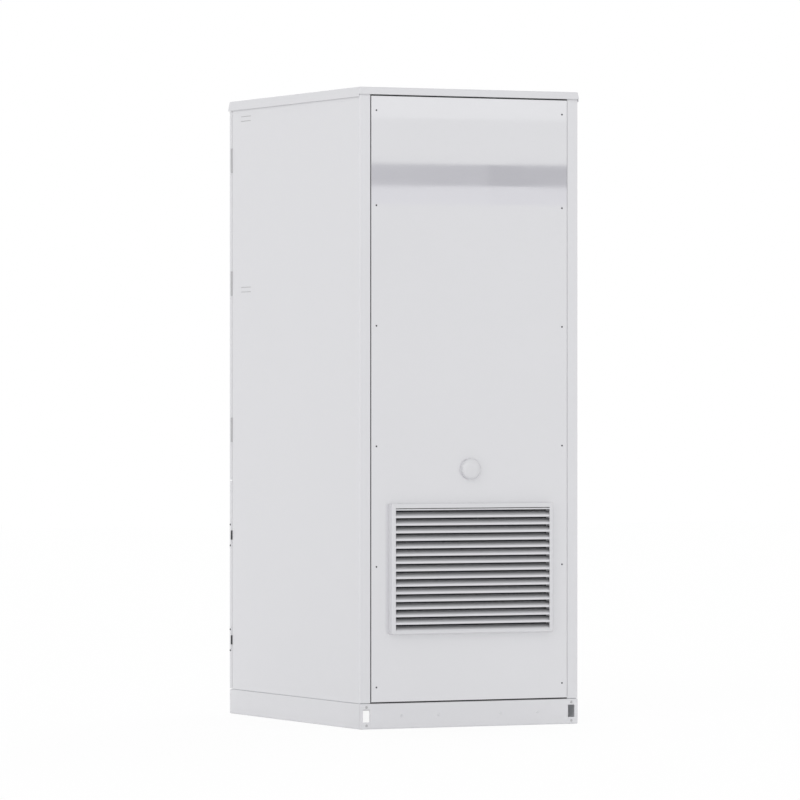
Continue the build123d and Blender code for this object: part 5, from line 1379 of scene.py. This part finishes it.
def make_cable_glands():
    """Glands with a hexagon body, a fluted nut, a rubber insert and a lock nut below."""
    bodies, inserts, bolts = bmesh.new(), bmesh.new(), bmesh.new()
    plate_low, plate_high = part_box("gland_plate")
    for low, high in islands("cable_glands"):
        centre = middle((low, high))
        seat = Vector((centre.x, centre.y, plate_high.z))
        height, depth = high.z - seat.z, low.z - seat.z
        tail = [(GLAND_BORE, depth), (GLAND_TAIL, depth)] + in_mm(GLAND_NUT_MM)
        bore = ((GLAND_BORE, depth), (GLAND_BORE, height))
        for profile in (scaled(GLAND_BODY, MM, height), tail, bore):
            add_turned(bodies, seat, UP, profile, MEDIUM_STEPS)
        mouth = (centre.x, centre.y, high.z - INSERT_DROP)
        add_turned(inserts, mouth, UP, in_mm(INSERT_MM))
    glands = piece("cable_gland_bodies", bodies, "gland")
    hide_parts("cable_glands")
    piece("cable_gland_inserts", inserts, "seal")
    left, right = ends(plate_low.x, plate_high.x, GLAND_BOLT_SIDE)
    for x in (left, 0, right):
        for y in ends(plate_low.y, plate_high.y, GLAND_BOLT_EDGE):
            add_hex_bolt(bolts, (x, y, plate_high.z), UP, *GLAND_BOLT)
    piece("gland_plate_bolts", bolts, "screw_plain")


VALVE_MM = ((0, 0), (15, 0), (15, 18), (19, 20, 6), (19, 34, 6), (12, 38), (12, 46), (0, 47))
OUTLET_RISE = 27.0 * MM
OUTLET_MM = ((0, 0), (8, 0), (8, 26), (10, 27, 6), (10, 38, 6), (0, 38))
GAUGE_MM = ((0, 0), (6, 0), (6, 20), (16, 21), (16, 31), (14, 32), (14, 30.5), (0, 30.5))


def make_canister_valve():
    """The valve block on the canister, with its gauge and side outlet."""
    low, high = max(islands("fire_canister"), key=lambda box: box[1].z)
    top = middle((low, high))
    top.z = high.z
    outlet = top + OUTLET_RISE * Vector(UP)
    bm = bmesh.new()
    add_turned(bm, top, UP, in_mm(VALVE_MM))
    add_turned(bm, outlet, RIGHT, in_mm(OUTLET_MM), PORT_STEPS)
    piece("canister_valve", bm, "pipe")
    bm = bmesh.new()
    add_turned(bm, outlet, FRONT, in_mm(GAUGE_MM))
    piece("canister_gauge", bm, "screw_plain")


# The detector's profile and its ribs' places are in shares of its radius and height
DETECTOR = (
    (1, 0), (1, 0.28), (0.94, 0.34), (0.72, 0.40), (0.66, 0.44), (0.66, 0.62), (0.70, 0.66),
    (0.64, 0.84), (0.48, 0.95), (0.25, 0.99), (0, 1),
)
DETECTOR_RIBS = 18
RIB_REACH = 0.68
RIB_START = 0.40
RIB_LENGTH = 0.26
RIB_RADIUS = 1.4 * MM


def make_detector():
    """The detector with a base ring, an open smoke gap with ribs and a domed cap."""
    low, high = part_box("smoke_detector")
    centre = middle((low, high))
    radius = (high.x - low.x) / 2
    height = high.z - low.z
    bm = bmesh.new()
    place = (centre.x, centre.y, high.z)
    add_turned(bm, place, DOWN, scaled(DETECTOR, radius, height), LARGE_STEPS)
    rib = scaled(ROUND_BAR, RIB_RADIUS, height * RIB_LENGTH)
    for angle in turns(DETECTOR_RIBS):
        x = centre.x + radius * RIB_REACH * math.cos(angle)
        y = centre.y + radius * RIB_REACH * math.sin(angle)
        add_turned(bm, (x, y, high.z - height * RIB_START), DOWN, rib, THIN_SIDES)
    dome = piece("smoke_detector_dome", bm, "detector")
    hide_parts("smoke_detector")


make_camera()
bpy.context.scene.view_settings.view_transform = "Standard"
make_world()
make_lamps()
make_floor()
make_flags()
finishes = make_materials()
dress_frame(finishes)
make_rear_screw_heads()
make_plinth_screw_heads()
make_groove_shade_strips()
make_vent_cap()
make_filter_media()
make_drip_edge()
make_handle_roses("upper")
make_handle_roses("lower")
make_bulb_seal("upper")
make_bulb_seal("lower")
make_hinge_straps()
make_pack_fittings()
make_pack_fronts()
make_rack_bolts()
make_control_face()
make_fan_guard()
make_compressor_shell()
make_refrigerant_pipes()
make_inverter_front()
make_cable_glands()
make_canister_valve()
make_detector()
